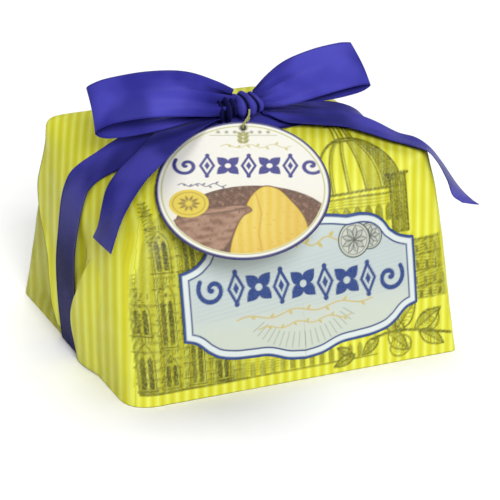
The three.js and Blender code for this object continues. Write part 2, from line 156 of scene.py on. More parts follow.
def bump_from(material, shader, height, distance, strength=1.0, under=None):
    """Raises the surface by `height` times `distance` metres."""
    inputs = {"Height": height, "Distance": distance, "Strength": strength}
    if under is not None:
        inputs["Normal"] = under
    bump = add_node(material, "ShaderNodeBump", inputs)
    join(material, bump.outputs["Normal"], shader, "Normal")
    return bump.outputs["Normal"]


def speckle(material, size_mm, detail=3.0):
    """Fine soft noise whose grains are about `size_mm` across."""
    place = add_node(material, "ShaderNodeTexCoord")
    noise = add_node(material, "ShaderNodeTexNoise", {
        "Vector": place.outputs["Object"], "Scale": 1 / (size_mm * MM), "Detail": detail})
    return noise.outputs["Fac"]


def blend_colours(material, share, low, high):
    """Mixes two colours by `share`; a colour is a hex word or another node's output."""
    inputs = {0: share}
    for socket, colour in ((6, low), (7, high)):
        inputs[socket] = opaque(colour) if isinstance(colour, str) else colour
    mix = add_node(material, "ShaderNodeMix", inputs, data_type="RGBA")
    return mix.outputs[2]


def attribute(material, name, kind="Fac"):
    """A value or a colour that is kept at the points of the mesh."""
    return add_node(material, "ShaderNodeAttribute", attribute_name=name).outputs[kind]


def remap(material, value, low, high, to_low=0.0, to_high=1.0):
    """Takes `value` from between low and high to between to_low and to_high, easing at both."""
    made = add_node(material, "ShaderNodeMapRange", {
        "Value": value, "From Min": low, "From Max": high, "To Min": to_low, "To Max": to_high},
        interpolation_type="SMOOTHSTEP")
    return made.outputs["Result"]


def math_node(material, operation, first, second=0.0):
    """The result of one sum on two numbers or outputs."""
    return add_node(material, "ShaderNodeMath", {0: first, 1: second}, operation=operation).outputs[0]


def times(material, first, second):
    return math_node(material, "MULTIPLY", first, second)


# ------------------------------------------------------------------ materials

STRIPE_PITCH = 6.75
# The way across the stripes in plan, so that they stand upright seen from the front left.
STRIPE_WAY = (0.916, -0.40)


def gift_paper():
    """Clay-coated gift wrap, offset printed: a smooth sheet with a low sheen, striped all over in
    two yellows with an olive line drawing over them. Handling leaves it faintly uneven."""
    material, shader = new_material("coated_gift_paper", Roughness=0.5, Specular_IOR_Level=0.28)
    turn = times(material, attribute(material, "stripe"),
                     2 * math.pi / STRIPE_PITCH)
    wave = math_node(material, "SINE", turn)
    broad = remap(material, wave, -0.45, 0.55)
    fine = remap(material, math_node(material, "SINE", times(material, turn, 3.0)), 0.1, 1)
    stripe = blend_colours(material, broad, "#cdc92a", "#dcdf58")
    stripe = blend_colours(material, times(material, fine, 0.16), stripe, "#9c9c14")
    cloudy = remap(material, speckle(material, 22), 0.3, 0.7, 0.0, 0.16)
    stripe = blend_colours(material, cloudy, stripe, "#b4ba26")
    # The ink holds the print, and also painted shade by the end flaps and along their free edges.
    ink = attribute(material, "ink")
    grain = remap(material, speckle(material, 1.6), 0.32, 0.6, 0.78, 1.0)
    printed = blend_colours(material, times(material, ink, grain), stripe, "#39380a")
    join(material, printed, shader, "Base Color")
    rubbed = remap(material, speckle(material, 14), 0.35, 0.7, 0.44, 0.6)
    join(material, rubbed, shader, "Roughness")
    buckle = bump_from(material, shader, speckle(material, 30, 2.0), 0.0016, 0.5)
    bump_from(material, shader, speckle(material, 0.9), 0.00003, 0.5, buckle)
    return material


def satin_ribbon():
    """Woven polyester satin: long floats across the ribbon throw a broad soft gloss, partly painted
    in as lighter patches; fine ribs run from edge to edge, and a denser selvedge shows as a thin
    line along each edge."""
    material, shader = new_material(
        "polyester_satin", Roughness=0.4, IOR=1.3, Specular_IOR_Level=0.25,
        Specular_Tint=opaque("#9a97ff"))
    along = attribute(material, "along")
    across = attribute(material, "across")
    rib_pitch = 0.8
    ribs = math_node(material, "SINE", times(material, along, 2 * math.pi / rib_pitch))
    edge = math_node(material, "ABSOLUTE", math_node(material, "SUBTRACT", across, 0.5))
    selvedge = remap(material, edge, 0.455, 0.475)
    # Painted sheen: broad soft patches of lighter blue stand in for the satin's gloss.
    cloudy = remap(material, speckle(material, 38, 1.5), 0.34, 0.66)
    body = blend_colours(material, cloudy, "#2b2a80", "#4442a6")
    body = blend_colours(material, times(material, selvedge, 0.4), body, "#26256f")
    # Painted shade: where the points carry it, the ribbon darkens to near black and its gloss dims.
    gathered = attribute(material, "gather")
    body = blend_colours(material, gathered, body, "#08081c")
    join(material, remap(material, gathered, 0, 0.7, 0.25, 0.04), shader, "Specular IOR Level")
    join(material, body, shader, "Base Color")
    threads = speckle(material, 1.1, 4.0)
    join(material, remap(material, threads, 0.3, 0.7, 0.33, 0.46), shader, "Roughness")
    height = math_node(material, "ADD", times(material, ribs, 0.25), threads)
    height = math_node(material, "ADD", height, times(material, selvedge, 2.0))
    bump_from(material, shader, height, 0.00006, 0.6)
    return material


def printed_board(name, roughness, grain_mm):
    """Coated stock with its picture printed on: an even satin sheen, through which the fibre of
    the board shows as a faint tooth."""
    material, shader = new_material(name, Roughness=roughness, Specular_IOR_Level=0.4)
    picture = attribute(material, "picture", "Color")
    tooth = speckle(material, grain_mm)
    faint = remap(material, tooth, 0.3, 0.7, 0.0, 0.07)
    join(material, blend_colours(material, faint, picture, "#b9b49c"), shader, "Base Color")
    join(material, remap(material, tooth, 0.3, 0.7, roughness - 0.06, roughness + 0.06), shader, "Roughness")
    bump_from(material, shader, tooth, 0.00003, 0.5)
    return material


def plied_cord():
    """Three-ply cotton cord, dyed olive gold: matte, with painted shade making the plies' grooves darker."""
    material, shader = new_material("cotton_cord", Roughness=0.8, Sheen_Weight=0.3)
    groove = attribute(material, "groove")
    fuzz = remap(material, speckle(material, 0.5), 0.3, 0.7, 0.0, 0.4)
    body = blend_colours(material, groove, "#6e6d2a", "#a9a850")
    join(material, blend_colours(material, fuzz, body, "#8c8b40"), shader, "Base Color")
    bump_from(material, shader, speckle(material, 0.4), 0.00008)
    return material


def grey_board():
    """Recycled grey board: pressed, unbleached, with dark and pale flecks of fibre."""
    material, shader = new_material("recycled_grey_board", Roughness=0.9)
    flecks = remap(material, speckle(material, 2.5, 5.0), 0.35, 0.65)
    join(material, blend_colours(material, flecks, "#a29b8c", "#c0b9aa"), shader, "Base Color")
    bump_from(material, shader, speckle(material, 0.8), 0.00006)
    return material


def case_paper():
    """Greaseproof baking paper, brown, printed with thin gold rings; pleats catch the light."""
    material, shader = new_material("greaseproof_case_paper", Roughness=0.6)
    place = add_node(material, "ShaderNodeTexCoord")
    height = add_node(material, "ShaderNodeSeparateXYZ", {0: place.outputs["Object"]}).outputs["Z"]
    ring_pitch = 8 * MM
    rings = math_node(material, "SINE", times(material, height, 2 * math.pi / ring_pitch))
    gold = remap(material, rings, 0.86, 0.95)
    stained = remap(material, speckle(material, 12), 0.35, 0.7)
    brown = blend_colours(material, stained, "#4a2c18", "#6b4226")
    join(material, blend_colours(material, gold, brown, "#b08b45"), shader, "Base Color")
    bump_from(material, shader, speckle(material, 1.5), 0.0001)
    return material


def baked_crust():
    """Baked enriched dough: egg-washed crust, chestnut in patches and paler between them, with
    blisters and fine cracks that break up its dull gloss."""
    material, shader = new_material("baked_crust", Roughness=0.55, Subsurface_Weight=0.08)
    shader.inputs["Subsurface Radius"].default_value = (0.004, 0.002, 0.001)
    baked = remap(material, speckle(material, 26, 4.0), 0.35, 0.68)
    tone = blend_colours(material, baked, "#5e2f12", "#a9682c")
    place = add_node(material, "ShaderNodeTexCoord")
    cells = add_node(material, "ShaderNodeTexVoronoi", {
        "Vector": place.outputs["Object"], "Scale": 1 / (5 * MM)}, feature="DISTANCE_TO_EDGE")
    crack = remap(material, cells.outputs["Distance"], 0.0, 0.08)
    join(material, blend_colours(material, crack, "#3d1d0b", tone), shader, "Base Color")
    blisters = math_node(material, "ADD", speckle(material, 4, 5.0),
                         times(material, crack, 0.3))
    bump_from(material, shader, blisters, 0.0012)
    return material


def clear_film():
    """Blown polypropylene film: clear, glossy, with a slight crinkle."""
    material, shader = new_material(
        "clear_film", Roughness=0.08, IOR=1.49, Transmission_Weight=0.9, Alpha=0.35)
    join(material, blend_colours(
        material, speckle(material, 20), "#dfe7ea", "#f4f8fa"), shader, "Base Color")
    bump_from(material, shader, speckle(material, 12, 4.0), 0.001)
    return material


def tie_wire():
    """Twist tie: soft wire in gold foil film, brushed by handling."""
    material, shader = new_material("gold_twist_tie", Metallic=0.9, Roughness=0.35)
    rubbed = remap(material, speckle(material, 1.5), 0.3, 0.7)
    join(material, blend_colours(material, rubbed, "#b5953c", "#dcc378"), shader, "Base Color")
    bump_from(material, shader, speckle(material, 0.6), 0.00005)
    return material


def studio_floor():
    """White seamless backdrop paper: matte, all but featureless."""
    material, shader = new_material("white_backdrop", Roughness=0.9, Specular_IOR_Level=0.1)
    faint = remap(material, speckle(material, 120), 0.3, 0.7)
    join(material, blend_colours(material, faint, "#fbfbfb", "#ffffff"), shader, "Base Color")
    return material


# ------------------------------------------------------------------ meshes

def grid_faces(rows, columns, closed_rows=False, closed_columns=False):
    """The quads of a grid of points laid out row by row."""
    faces = []
    for i in range(rows if closed_rows else rows - 1):
        here = i * columns
        above = ((i + 1) % rows) * columns
        for j in range(columns if closed_columns else columns - 1):
            k = (j + 1) % columns
            faces.append((here + j, here + k, above + k, above + j))
    return faces


def capped_faces(rows, columns):
    """The faces of a row of closed rings, the first and the last each filled by one face."""
    last = (rows - 1) * columns
    caps = [tuple(range(columns))[::-1], tuple(range(last, last + columns))]
    return grid_faces(rows, columns, closed_columns=True) + caps


def facing_out(points, faces):
    """Turns a closed skin the right way out, by the sign of its volume."""
    corners = np.asarray(points)[np.array([face[:3] for face in faces])]
    volume = np.einsum("ij,ij->i", corners[:, 0], np.cross(corners[:, 1], corners[:, 2])).sum()
    return [tuple(reversed(face)) for face in faces] if volume < 0 else faces


def make_piece(name, points, faces, material, slot, stands_for=None, smooth=True, **values):
    """A mesh piece riding on the pack, in place of the solid it stands for; `slot` is not used. Each
    of `values` is kept at its points: one number a point is a plain value, three are a colour."""
    mesh = bpy.data.meshes.new(name)
    mesh.from_pydata(placed(points).tolist(), [], facing_out(points, faces))
    mesh.validate()
    for key, numbers in values.items():
        numbers = np.asarray(numbers, float)
        if numbers.ndim == 2:
            colour = np.column_stack([numbers, np.ones(len(numbers))])
            mesh.attributes.new(key, "FLOAT_COLOR", "POINT").data.foreach_set("color", colour.ravel())
        else:
            mesh.attributes.new(key, "FLOAT", "POINT").data.foreach_set("value", numbers)
    mesh.polygons.foreach_set("use_smooth", [smooth] * len(mesh.polygons))
    mesh.materials.append(material)
    made = bpy.data.objects.new(name, mesh)
    bpy.context.scene.collection.objects.link(made)
    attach(made, "root")
    if stands_for:
        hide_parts(stands_for)
    return made


def ripple(points, size, seed):
    """Soft unevenness from -1 to 1 with waves about `size` long, the same on every run."""
    draw = np.random.default_rng(seed)
    points = np.asarray(points, float)
    total = np.zeros(len(points))
    waves = 7
    for _ in range(waves):
        way = draw.normal(size=points.shape[1])
        way /= np.linalg.norm(way)
        length = size * draw.uniform(0.7, 1.5)
        total += np.sin(points @ way * 2 * math.pi / length + draw.uniform(0, 2 * math.pi))
    return total / waves * 1.6


def smooth_step(value, low, high):
    """From 0 below `low` to 1 above `high`, easing at both ends."""
    share = np.clip((np.asarray(value, float) - low) / (high - low), 0, 1)
    return share * share * (3 - 2 * share)


def curve_through(points, count):
    """`count` places along a smooth curve through the given points, evenly spaced in its spans."""
    points = np.asarray(points, float)
    padded = np.vstack([2 * points[0] - points[1], points, 2 * points[-1] - points[-2]])
    spans = np.linspace(0, len(points) - 1, count)
    index = np.minimum(spans.astype(int), len(points) - 2)
    share = (spans - index)[:, None]
    p0, p1, p2, p3 = (padded[index + k] for k in range(4))
    d0, d1, d2 = (np.maximum(np.linalg.norm(b - a, axis=1)[:, None] ** 0.5, 1e-4)
                  for a, b in ((p0, p1), (p1, p2), (p2, p3)))
    leave = ((p1 - p0) / d0 - (p2 - p0) / (d0 + d1) + (p2 - p1) / d1) * d1
    reach = ((p2 - p1) / d1 - (p3 - p1) / (d1 + d2) + (p3 - p2) / d2) * d1
    return (p1 + leave * share + (3 * (p2 - p1) - 2 * leave - reach) * share ** 2
            + (2 * (p1 - p2) + leave + reach) * share ** 3)


def unit(vectors):
    """The vectors, each scaled to a length of one."""
    return vectors / np.maximum(np.linalg.norm(vectors, axis=-1, keepdims=True), 1e-9)


def sheet_solid(middle, thickness, normal=None):
    """Points and faces of a thin sheet of `thickness` round a grid of middle points."""
    rows, columns, _ = middle.shape
    if normal is None:
        normal = unit(np.cross(np.gradient(middle, axis=0), np.gradient(middle, axis=1)))
    top = (middle + normal * thickness / 2).reshape(-1, 3)
    bottom = (middle - normal * thickness / 2).reshape(-1, 3)
    faces = grid_faces(rows, columns)
    count = rows * columns
    faces += [tuple(count + k for k in reversed(face)) for face in grid_faces(rows, columns)]
    rim = [j for j in range(columns)]
    rim += [i * columns + columns - 1 for i in range(1, rows)]
    rim += [(rows - 1) * columns + j for j in range(columns - 2, -1, -1)]
    rim += [i * columns for i in range(rows - 2, 0, -1)]
    for a, b in zip(rim, rim[1:] + rim[:1]):
        faces.append((b, a, count + a, count + b))
    return np.vstack([top, bottom]), faces


# ------------------------------------------------------------------ the shape of the wrapped pack

BASE_LENGTH = 262
BASE_DEPTH = 242
WALL_HEIGHT = 154
CROWN_HEIGHT = 174
END_TAPER = 12
FRONT_TAPER = 29
BACK_TAPER = 27
END_BULGE = 8
FACE_BULGE = 4
CROWN_FALL_TO_END = 17
CROWN_FALL_TO_FACE = 12
CORNER_LIFT = 13
END_SPAN = 118
FACE_SPAN = 126
CROWN_SPAN = 92
MIDDLE_HEIGHT = 70
# Roundings at front left, front right, back left and back right.
UPRIGHT_ROUNDING = (40, 8, 16, 20)
TOP_CORNER_ROUNDING = (66, 7, 9, 34)
FRONT_EDGE_ROUNDING = 80
BACK_EDGE_ROUNDING = 52
LEFT_EDGE_ROUNDING = 46
RIGHT_EDGE_ROUNDING = 44


def rounded_max(a, b, radius):
    """The larger of two distances, their meeting rounded over `radius`."""
    mix = np.clip(0.5 + 0.5 * (a - b) / radius, 0, 1)
    return b + (a - b) * mix + radius * mix * (1 - mix)


def at_corner(table, x, y):
    """The value of the corner that each place belongs to."""
    front_left, front_right, back_left, back_right = table
    return np.where(y < 0, np.where(x < 0, front_left, front_right),
                    np.where(x < 0, back_left, back_right))


def pack_skin(x, y, z):
    """How far a point is outside the wrapped pack, negative inside: four walls that lean in and
    bulge, a domed crown, and soft edges that are roundest in the middle and crisp at the corners."""
    rise = z / WALL_HEIGHT
    bulge = np.sin(np.pi * np.clip(z / (WALL_HEIGHT - 4), 0, 1))
    end = np.abs(x) - (BASE_LENGTH / 2 - END_TAPER * rise + END_BULGE * bulge * (1 - (y / END_SPAN) ** 2))
    taper = np.where(y < 0, FRONT_TAPER, BACK_TAPER)
    face = np.abs(y) - (BASE_DEPTH / 2 - taper * rise + FACE_BULGE * bulge * (1 - (x / FACE_SPAN) ** 2))
    softening = 0.6 + 0.5 * np.clip(rise, 0, 1.2)
    side = rounded_max(end, face, at_corner(UPRIGHT_ROUNDING, x, y) * softening)
    u = np.minimum(np.abs(x) / END_SPAN, 1.1)
    v = np.minimum(np.abs(y) / CROWN_SPAN, 1.1)
    crown = (CROWN_HEIGHT - CROWN_FALL_TO_END * u ** 2 - CROWN_FALL_TO_FACE * v ** 2
             + CORNER_LIFT * (u * v) ** 2)
    across_ends = np.where(x < 0, LEFT_EDGE_ROUNDING, RIGHT_EDGE_ROUNDING)
    across_faces = np.where(y < 0, FRONT_EDGE_ROUNDING, BACK_EDGE_ROUNDING)
    middle = (across_ends * u ** 2 + across_faces * v ** 2) / (u ** 2 + v ** 2 + 1e-6)
    near_corner = np.minimum(u * v, 1) ** 2
    rounding = middle + (at_corner(TOP_CORNER_ROUNDING, x, y) - middle) * near_corner
    return rounded_max(side, z - crown, rounding)


def on_skin(starts, ways, off=0.0):
    """Where rays from `starts` along `ways` meet the level `off` of the pack's skin."""
    starts, ways = np.broadcast_arrays(np.asarray(starts, float), np.asarray(ways, float))
    near = np.zeros(starts.shape[:-1])
    far = np.full(starts.shape[:-1], 300.0)
    for _ in range(26):
        reach = (near + far) / 2
        spot = starts + ways * reach[..., None]
        inside = pack_skin(spot[..., 0], spot[..., 1], spot[..., 2]) < off
        near = np.where(inside, reach, near)
        far = np.where(inside, far, reach)
    return starts + ways * near[..., None]


# ------------------------------------------------------------------ drawing in millimetres on a flat face

LINE_SOFTNESS = 0.7
# Coated stock under a clear varnish gives back about seven tenths of the light.
STOCK_WHITE = 0.7


def printed(hex_colour):
    """A printed colour as the surface takes it: on this stock even white is a little grey."""
    return np.array(linear(hex_colour)) * STOCK_WHITE


def filled(depth, softness=LINE_SOFTNESS):
    """How much ink lies at places `depth` inside a shape's edge (negative outside)."""
    return np.clip(0.5 + depth / softness, 0, 1)


def off_route(points, route):
    """Each point's distance from a route of straight stretches."""
    nearest = np.full(len(points), 1e9)
    route = np.asarray(route, float)
    for a, b in zip(route[:-1], route[1:]):
        stretch = b - a
        share = np.clip(((points - a) @ stretch) / max(stretch @ stretch, 1e-9), 0, 1)
        nearest = np.minimum(nearest, np.hypot(*(points - a - share[:, None] * stretch).T))
    return nearest


def within(points, outline):
    """How deep each point is inside a closed outline, negative outside it."""
    outline = np.asarray(outline, float)
    inside = np.zeros(len(points), bool)
    for (ax, ay), (bx, by) in zip(outline, np.roll(outline, -1, axis=0)):
        crosses = (ay > points[:, 1]) != (by > points[:, 1])
        height = np.where(abs(by - ay) < 1e-9, 1e-9, by - ay)
        inside ^= crosses & (points[:, 0] < (bx - ax) * (points[:, 1] - ay) / height + ax)
    edge = off_route(points, np.vstack([outline, outline[:1]]))
    return np.where(inside, edge, -edge)


class Drawing:
    """Ink laid on points of a flat face; every shape touches only the points round it."""

    def __init__(self, points, ground=None, weight=1.0):
        self.points = np.asarray(points, float)
        self.weight = weight
        self.single = ground is None
        if self.single:
            self.layer = np.zeros(len(self.points))
        else:
            self.layer = np.tile(printed(ground), (len(self.points), 1))

    def near(self, outline, margin):
        low = np.min(outline, axis=0) - margin
        high = np.max(outline, axis=0) + margin
        return np.flatnonzero(((self.points > low) & (self.points < high)).all(axis=1))

    def lay(self, chosen, share, ink):
        """Lays ink, a darkness or a colour, over the chosen points."""
        if self.single:
            self.layer[chosen] = np.maximum(self.layer[chosen], share * ink)
        else:
            self.layer[chosen] += (printed(ink) - self.layer[chosen]) * np.asarray(share)[:, None]

    def stroke(self, route, width, ink, strength=1.0):
        width = width * self.weight
        chosen = self.near(route, width)
        depth = width / 2 - off_route(self.points[chosen], route)
        self.lay(chosen, filled(depth) * strength, ink)

    def shape(self, outline, ink, strength=1.0):
        chosen = self.near(outline, 1)
        self.lay(chosen, filled(within(self.points[chosen], outline)) * strength, ink)

    def outlined(self, outline, width, ink, strength=1.0):
        self.stroke(np.vstack([outline, outline[:1]]), width, ink, strength)

    def hatch(self, outline, way, pitch, ink, strength=1.0):
        """Fine ruled lines inside an outline, running along `way`, `pitch` apart."""
        chosen = self.near(outline, 1)
        points = self.points[chosen]
        side = points @ np.array([-way[1], way[0]]) / math.hypot(*way)
        ruled = 0.5 + 0.5 * np.cos(side * 2 * math.pi / pitch)
        self.lay(chosen, filled(within(points, outline)) * ruled * strength, ink)


def ellipse(centre, half_wide, half_high, count=28, start=0.0, turn=2 * math.pi, tilt=0.0):
    angles = np.linspace(start, start + turn, count, endpoint=turn < 6.28)
    x, y = half_wide * np.cos(angles), half_high * np.sin(angles)
    c, s = math.cos(tilt), math.sin(tilt)
    return np.column_stack([centre[0] + c * x - s * y, centre[1] + s * x + c * y])


def box_outline(left, low, right, high):
    return np.array([(left, low), (right, low), (right, high), (left, high)], float)


def pointed_arch(left, low, right, high):
    """A window outline with a pointed head."""
    wide = right - left
    spring = high - wide * 0.9
    steps = np.linspace(0, 1, 5)
    bow = wide / 2 * (1 - steps ** 1.7)
    middle = (left + right) / 2
    rising = np.column_stack([middle + bow, spring + (high - spring) * steps])
    falling = np.column_stack([middle - bow[::-1], spring + (high - spring) * steps[::-1]])
    return np.vstack([[(left, low), (right, low)], rising, falling])


def leaf(base, tip, belly):
    """A leaf outline from its base to its tip, `belly` of its length wide on each side."""
    base, tip = np.asarray(base, float), np.asarray(tip, float)
    along = tip - base
    side = np.array([-along[1], along[0]])
    steps = np.linspace(0, 1, 9)
    bow = belly * np.sin(math.pi * steps ** 0.85)
    upper = base + np.outer(steps, along) + np.outer(bow, side)
    lower = base + np.outer(steps, along) - np.outer(bow, side)
    return np.vstack([upper, lower[-2:0:-1]])


def scroll(centre, size, turns, start, hand=1):
    """A spiral that winds out from its eye to `size`."""
    steps = np.linspace(0.06, 1, 34)
    angles = start + hand * turns * 2 * math.pi * steps
    return np.column_stack([
        centre[0] + size * steps * np.cos(angles), centre[1] + size * steps * np.sin(angles)])


# ------------------------------------------------------------------ the line drawing on the gift paper

HALL_FOOT = 9


def draw_lancets(page, left, low, wide, high):
    """One bay of the hall: a pointed frame over two tall dark lights and a small round one."""
    page.shape(pointed_arch(left, low, left + wide, low + high), 0.3)
    page.outlined(pointed_arch(left, low, left + wide, low + high), 0.8, 0.9)
    light = wide * 0.33
    for middle in (left + wide * 0.28, left + wide * 0.72):
        page.shape(pointed_arch(middle - light / 2, low + 1.5, middle + light / 2, low + high * 0.74), 1.0)
    page.shape(ellipse((left + wide / 2, low + high * 0.82), wide * 0.12, wide * 0.12, 10), 0.95)
    page.stroke([(left - 1, low), (left + wide + 1, low)], 1.0, 0.95)


def draw_pinnacle(page, x, low, high, wide):
    """A slim turret: two edges, shade on its right, string courses and a crocketed point."""
    shoulder = high - wide * 2.4
    page.shape(box_outline(x, low, x + wide / 2, shoulder), 0.62)
    for edge in (-wide / 2, -wide / 6, wide / 2):
        page.stroke([(x + edge, low), (x + edge, shoulder)], 0.6, 0.85)
    page.shape(np.array([(x - wide / 2, shoulder), (x + wide / 2, shoulder), (x, high)]), 0.6)
    for step in (0.2, 0.45, 0.7):
        spot = shoulder + (high - shoulder) * step
        reach = wide * 0.42 * (1 - step) + 1.4
        page.stroke([(x - reach, spot + 1), (x, spot), (x + reach, spot + 1)], 0.7, 0.9)
    for band in np.arange(low + 8, shoulder, 11):
        page.stroke([(x - wide / 2 - 1, band), (x + wide / 2 + 1, band)], 0.8, 0.95)


def draw_hall(page):
    """A made-up hall of turrets and tall pointed windows, on the left."""
    wash = np.array([(-121, HALL_FOOT), (-40, HALL_FOOT), (-40, 60), (-56, 82),
                     (-70, 124), (-88, 142), (-106, 126), (-121, 74)])
    page.shape(wash, 0.4)
    for left, high in ((-120, 74), (-104, 116), (-88, 128), (-72, 112), (-56, 74)):
        page.hatch(box_outline(left, HALL_FOOT, left + 13, high), (0, 1), 2.6, 0.55)
        page.hatch(box_outline(left, HALL_FOOT, left + 15, high), (1, 0), 6.5, 0.7)
    # Each bay's left edge and width, and the foot and height of each row of windows.
    bays = (
        (-121, 11.5, ((2, 34), (41, 26))),
        (-103.5, 12, ((2, 24), (32, 46), (85, 30))),
        (-83.5, 11.5, ((2, 40), (48, 28), (82, 36))),
        (-64, 11, ((2, 22), (30, 44), (82, 22))))
    for left, wide, tiers in bays:
        for low, tall in tiers:
            draw_lancets(page, left, HALL_FOOT + low, wide, tall)
            top = HALL_FOOT + low + tall
            page.hatch(box_outline(left - 1, top, left + wide + 1, top + 4.5), (0, 1), 2.0, 0.9)
    turrets = ((-119, 96, 5), (-102, 152, 5.5), (-84, 170, 6), (-65.5, 150, 5.5), (-48, 92, 5))
    for x, high, wide in turrets:
        draw_pinnacle(page, x, HALL_FOOT, high, wide)
    page.stroke([(-121, HALL_FOOT), (-40, HALL_FOOT)], 1.2, 0.9)


def draw_arcade(page):
    """A low wall of small arches and ruled roof tiles along the foot of the face."""
    page.stroke([(-56, 9), (64, 9)], 0.9, 0.75)
    page.stroke([(-56, 27), (64, 27)], 0.9, 0.75)
    for k in range(15):
        left = -54 + k * 7.8
        page.shape(pointed_arch(left + 0.6, 10, left + 5, 21), 0.62)
    page.hatch(box_outline(-56, 23, 64, 34), (1, 0), 2.2, 0.6)
    page.hatch(box_outline(-56, 12, -8, 22), (1, 0), 2.0, 0.55)


def draw_cupola(page):
    """A made-up ribbed cupola with its lantern and drum, upper right."""
    middle, spring, half, rise = 61, 131, 31, 47
    dome = ellipse((middle, spring), half, rise, 26, 0, math.pi)
    page.stroke(dome, 1.2, 0.95)
    for share in (-0.68, -0.3, 0.12, 0.5, 0.8):
        start = 0 if share > 0 else math.pi / 2
        rib = ellipse((middle, spring), half * abs(share), rise, 16, start, math.pi / 2)
        page.stroke(rib, 1.0, 0.8)
        page.stroke(rib + (1.8, 0), 0.7, 0.6)

    def gore(outer, inner):
        """The strip of the dome between two of its ribs."""
        return np.vstack([ellipse((middle, spring), half * outer, rise, 14, 0, math.pi / 2),
                          ellipse((middle, spring), half * inner, rise, 14, math.pi / 2, -math.pi / 2)])

    page.shape(gore(1.0, 0.55), 0.72)
    page.hatch(gore(1.0, 0.55), (0.3, 1), 2.0, 0.95)
    page.shape(gore(0.5, 0.14), 0.42)
    top = spring + rise
    for x in (-7, -3.6, 0, 3.6, 7):
        page.stroke([(middle + x, top - 3), (middle + x * 0.8, top + 13)], 0.9, 0.85)
    page.shape(box_outline(middle + 2.5, top - 3, middle + 6.5, top + 13), 0.5)
    for step in (-3, 13):
        page.stroke([(middle - 9, top + step), (middle + 9, top + step)], 1.2, 0.9)
    page.stroke([(middle - 6, top + 13), (middle, top + 25), (middle + 6, top + 13)], 1.0, 0.85)
    page.stroke([(middle - 35, spring - 1), (middle + 35, spring - 1)], 1.4, 0.9)
    page.stroke([(middle - 35, spring - 5), (middle + 35, spring - 5)], 1.0, 0.85)
    page.hatch(box_outline(middle - 35, spring - 14, middle + 35, spring - 5), (1, 0), 2.2, 0.6)
    for k in range(8):
        left = middle - 33 + k * 8.4
        opening = pointed_arch(left, spring - 24, left + 5, spring - 12)
        page.outlined(opening, 0.8, 0.8)
        page.shape(opening, 0.5 + 0.05 * k)
    turret = box_outline(middle + 22, spring - 34, middle + 35, spring + 8)
    page.shape(turret, 0.72)
    page.hatch(turret, (0, 1), 2.0, 0.95)
    page.outlined(turret, 1.1, 0.95)
    page.shape(pointed_arch(middle + 25, spring - 26, middle + 31, spring - 8), 0.95)
    page.stroke([(middle + 20, spring + 9), (middle + 37, spring + 9)], 1.6, 0.95)


def draw_roofs(page):
    """Stacked roofs and walls at the right edge."""
    for k, (left, low, right, high) in enumerate((
            (88, 78, 126, 88), (96, 66, 128, 77), (86, 54, 126, 65), (98, 44, 129, 53))):
        wall = box_outline(left, low, right, high)
        page.shape(wall, 0.28)
        page.hatch(wall, (1, 0.1 * (-1) ** k), 2.3, 0.85)
        page.stroke([(left - 2, high), (right, high + 1.5)], 1.3, 0.9)
        for x in np.arange(left + 4, right - 3, 8):
            page.shape(box_outline(x, low + 1, x + 3, low + 6.5), 0.9)
        page.shape(box_outline((left + right) / 2, low, right, high), 0.45)


def draw_branch(page):
    """A fruiting branch, lower right: leaves with veins, and two round fruits with stippled shade."""
    page.stroke(curve_through([(60, 21), (78, 24), (96, 22), (114, 18), (127, 15)], 20), 1.3, 0.95)
    leaves = [((80, 24), (98, 44), 0.24), ((96, 22), (119, 35), 0.22), ((88, 23), (66, 37), 0.2),
              ((100, 21), (120, 8), 0.22), ((74, 23), (90, 8), 0.26), ((66, 22), (52, 10), 0.22),
              ((46, 12), (29, 5), 0.2), ((44, 12), (32, 19), 0.2)]
    for base, tip, belly in leaves:
        outline = leaf(base, tip, belly)
        page.outlined(outline, 0.9, 0.95)
        page.stroke([base, tip], 0.8, 0.9)
        base, tip = np.asarray(base, float), np.asarray(tip, float)
        side = np.array([-(tip - base)[1], (tip - base)[0]])
        for step in np.arange(0.2, 0.85, 0.13):
            root = base + (tip - base) * step
            reach = belly * math.sin(math.pi * step) * 0.8
            for hand in (-1, 1):
                page.stroke([root, root + (tip - base) * 0.12 + side * reach * hand], 0.6, 0.7)
        page.shape(np.vstack([outline[:9], [base]]), 0.5)
    for centre, size in (((108, 27), 8), ((84, 12), 7.5)):
        page.outlined(ellipse(centre, size * 1.2, size, 22, tilt=0.4), 0.9, 0.8)
        page.hatch(ellipse((centre[0] + 2, centre[1] - 2), size, size * 0.6, 16), (1, 0.5), 2.0, 0.55)


def past_walls(points):
    """How far each point stands past the plain end walls, and past the front or back wall."""
    x, y, z = points.T
    rise = z / WALL_HEIGHT
    past_end = np.abs(x) - (BASE_LENGTH / 2 - END_TAPER * rise)
    past_face = np.abs(y) - (BASE_DEPTH / 2 - np.where(y < 0, FRONT_TAPER, BACK_TAPER) * rise)
    return past_end, past_face


def paper_drawing(points):
    """Ink on the gift paper: the same drawing is printed on the front and on the back, its height
    measured up the face and on over the soft top edge."""
    facing = np.where(points[:, 1] < 0, 1, -1)
    depth = np.abs(points[:, 1])
    wall_top_depth, over_edge = 97, 0.55
    height = points[:, 2] + over_edge * np.maximum(wall_top_depth - depth, 0)
    page = Drawing(np.column_stack([points[:, 0] * facing, height]), weight=1.6)
    draw_hall(page)
    draw_arcade(page)
    draw_cupola(page)
    draw_roofs(page)
    draw_branch(page)
    past_end, past_face = past_walls(points)
    near_face = smooth_step(past_face, -12, -7)
    on_face = smooth_step(depth, 34, 44) * smooth_step(-past_end, 1, 4)
    on_face = on_face * np.where(past_end > -14, near_face, 1)
    worn = 0.9 + 0.1 * ripple(points, 17, 5)
    return page.layer * on_face * worn


# ------------------------------------------------------------------ gift paper

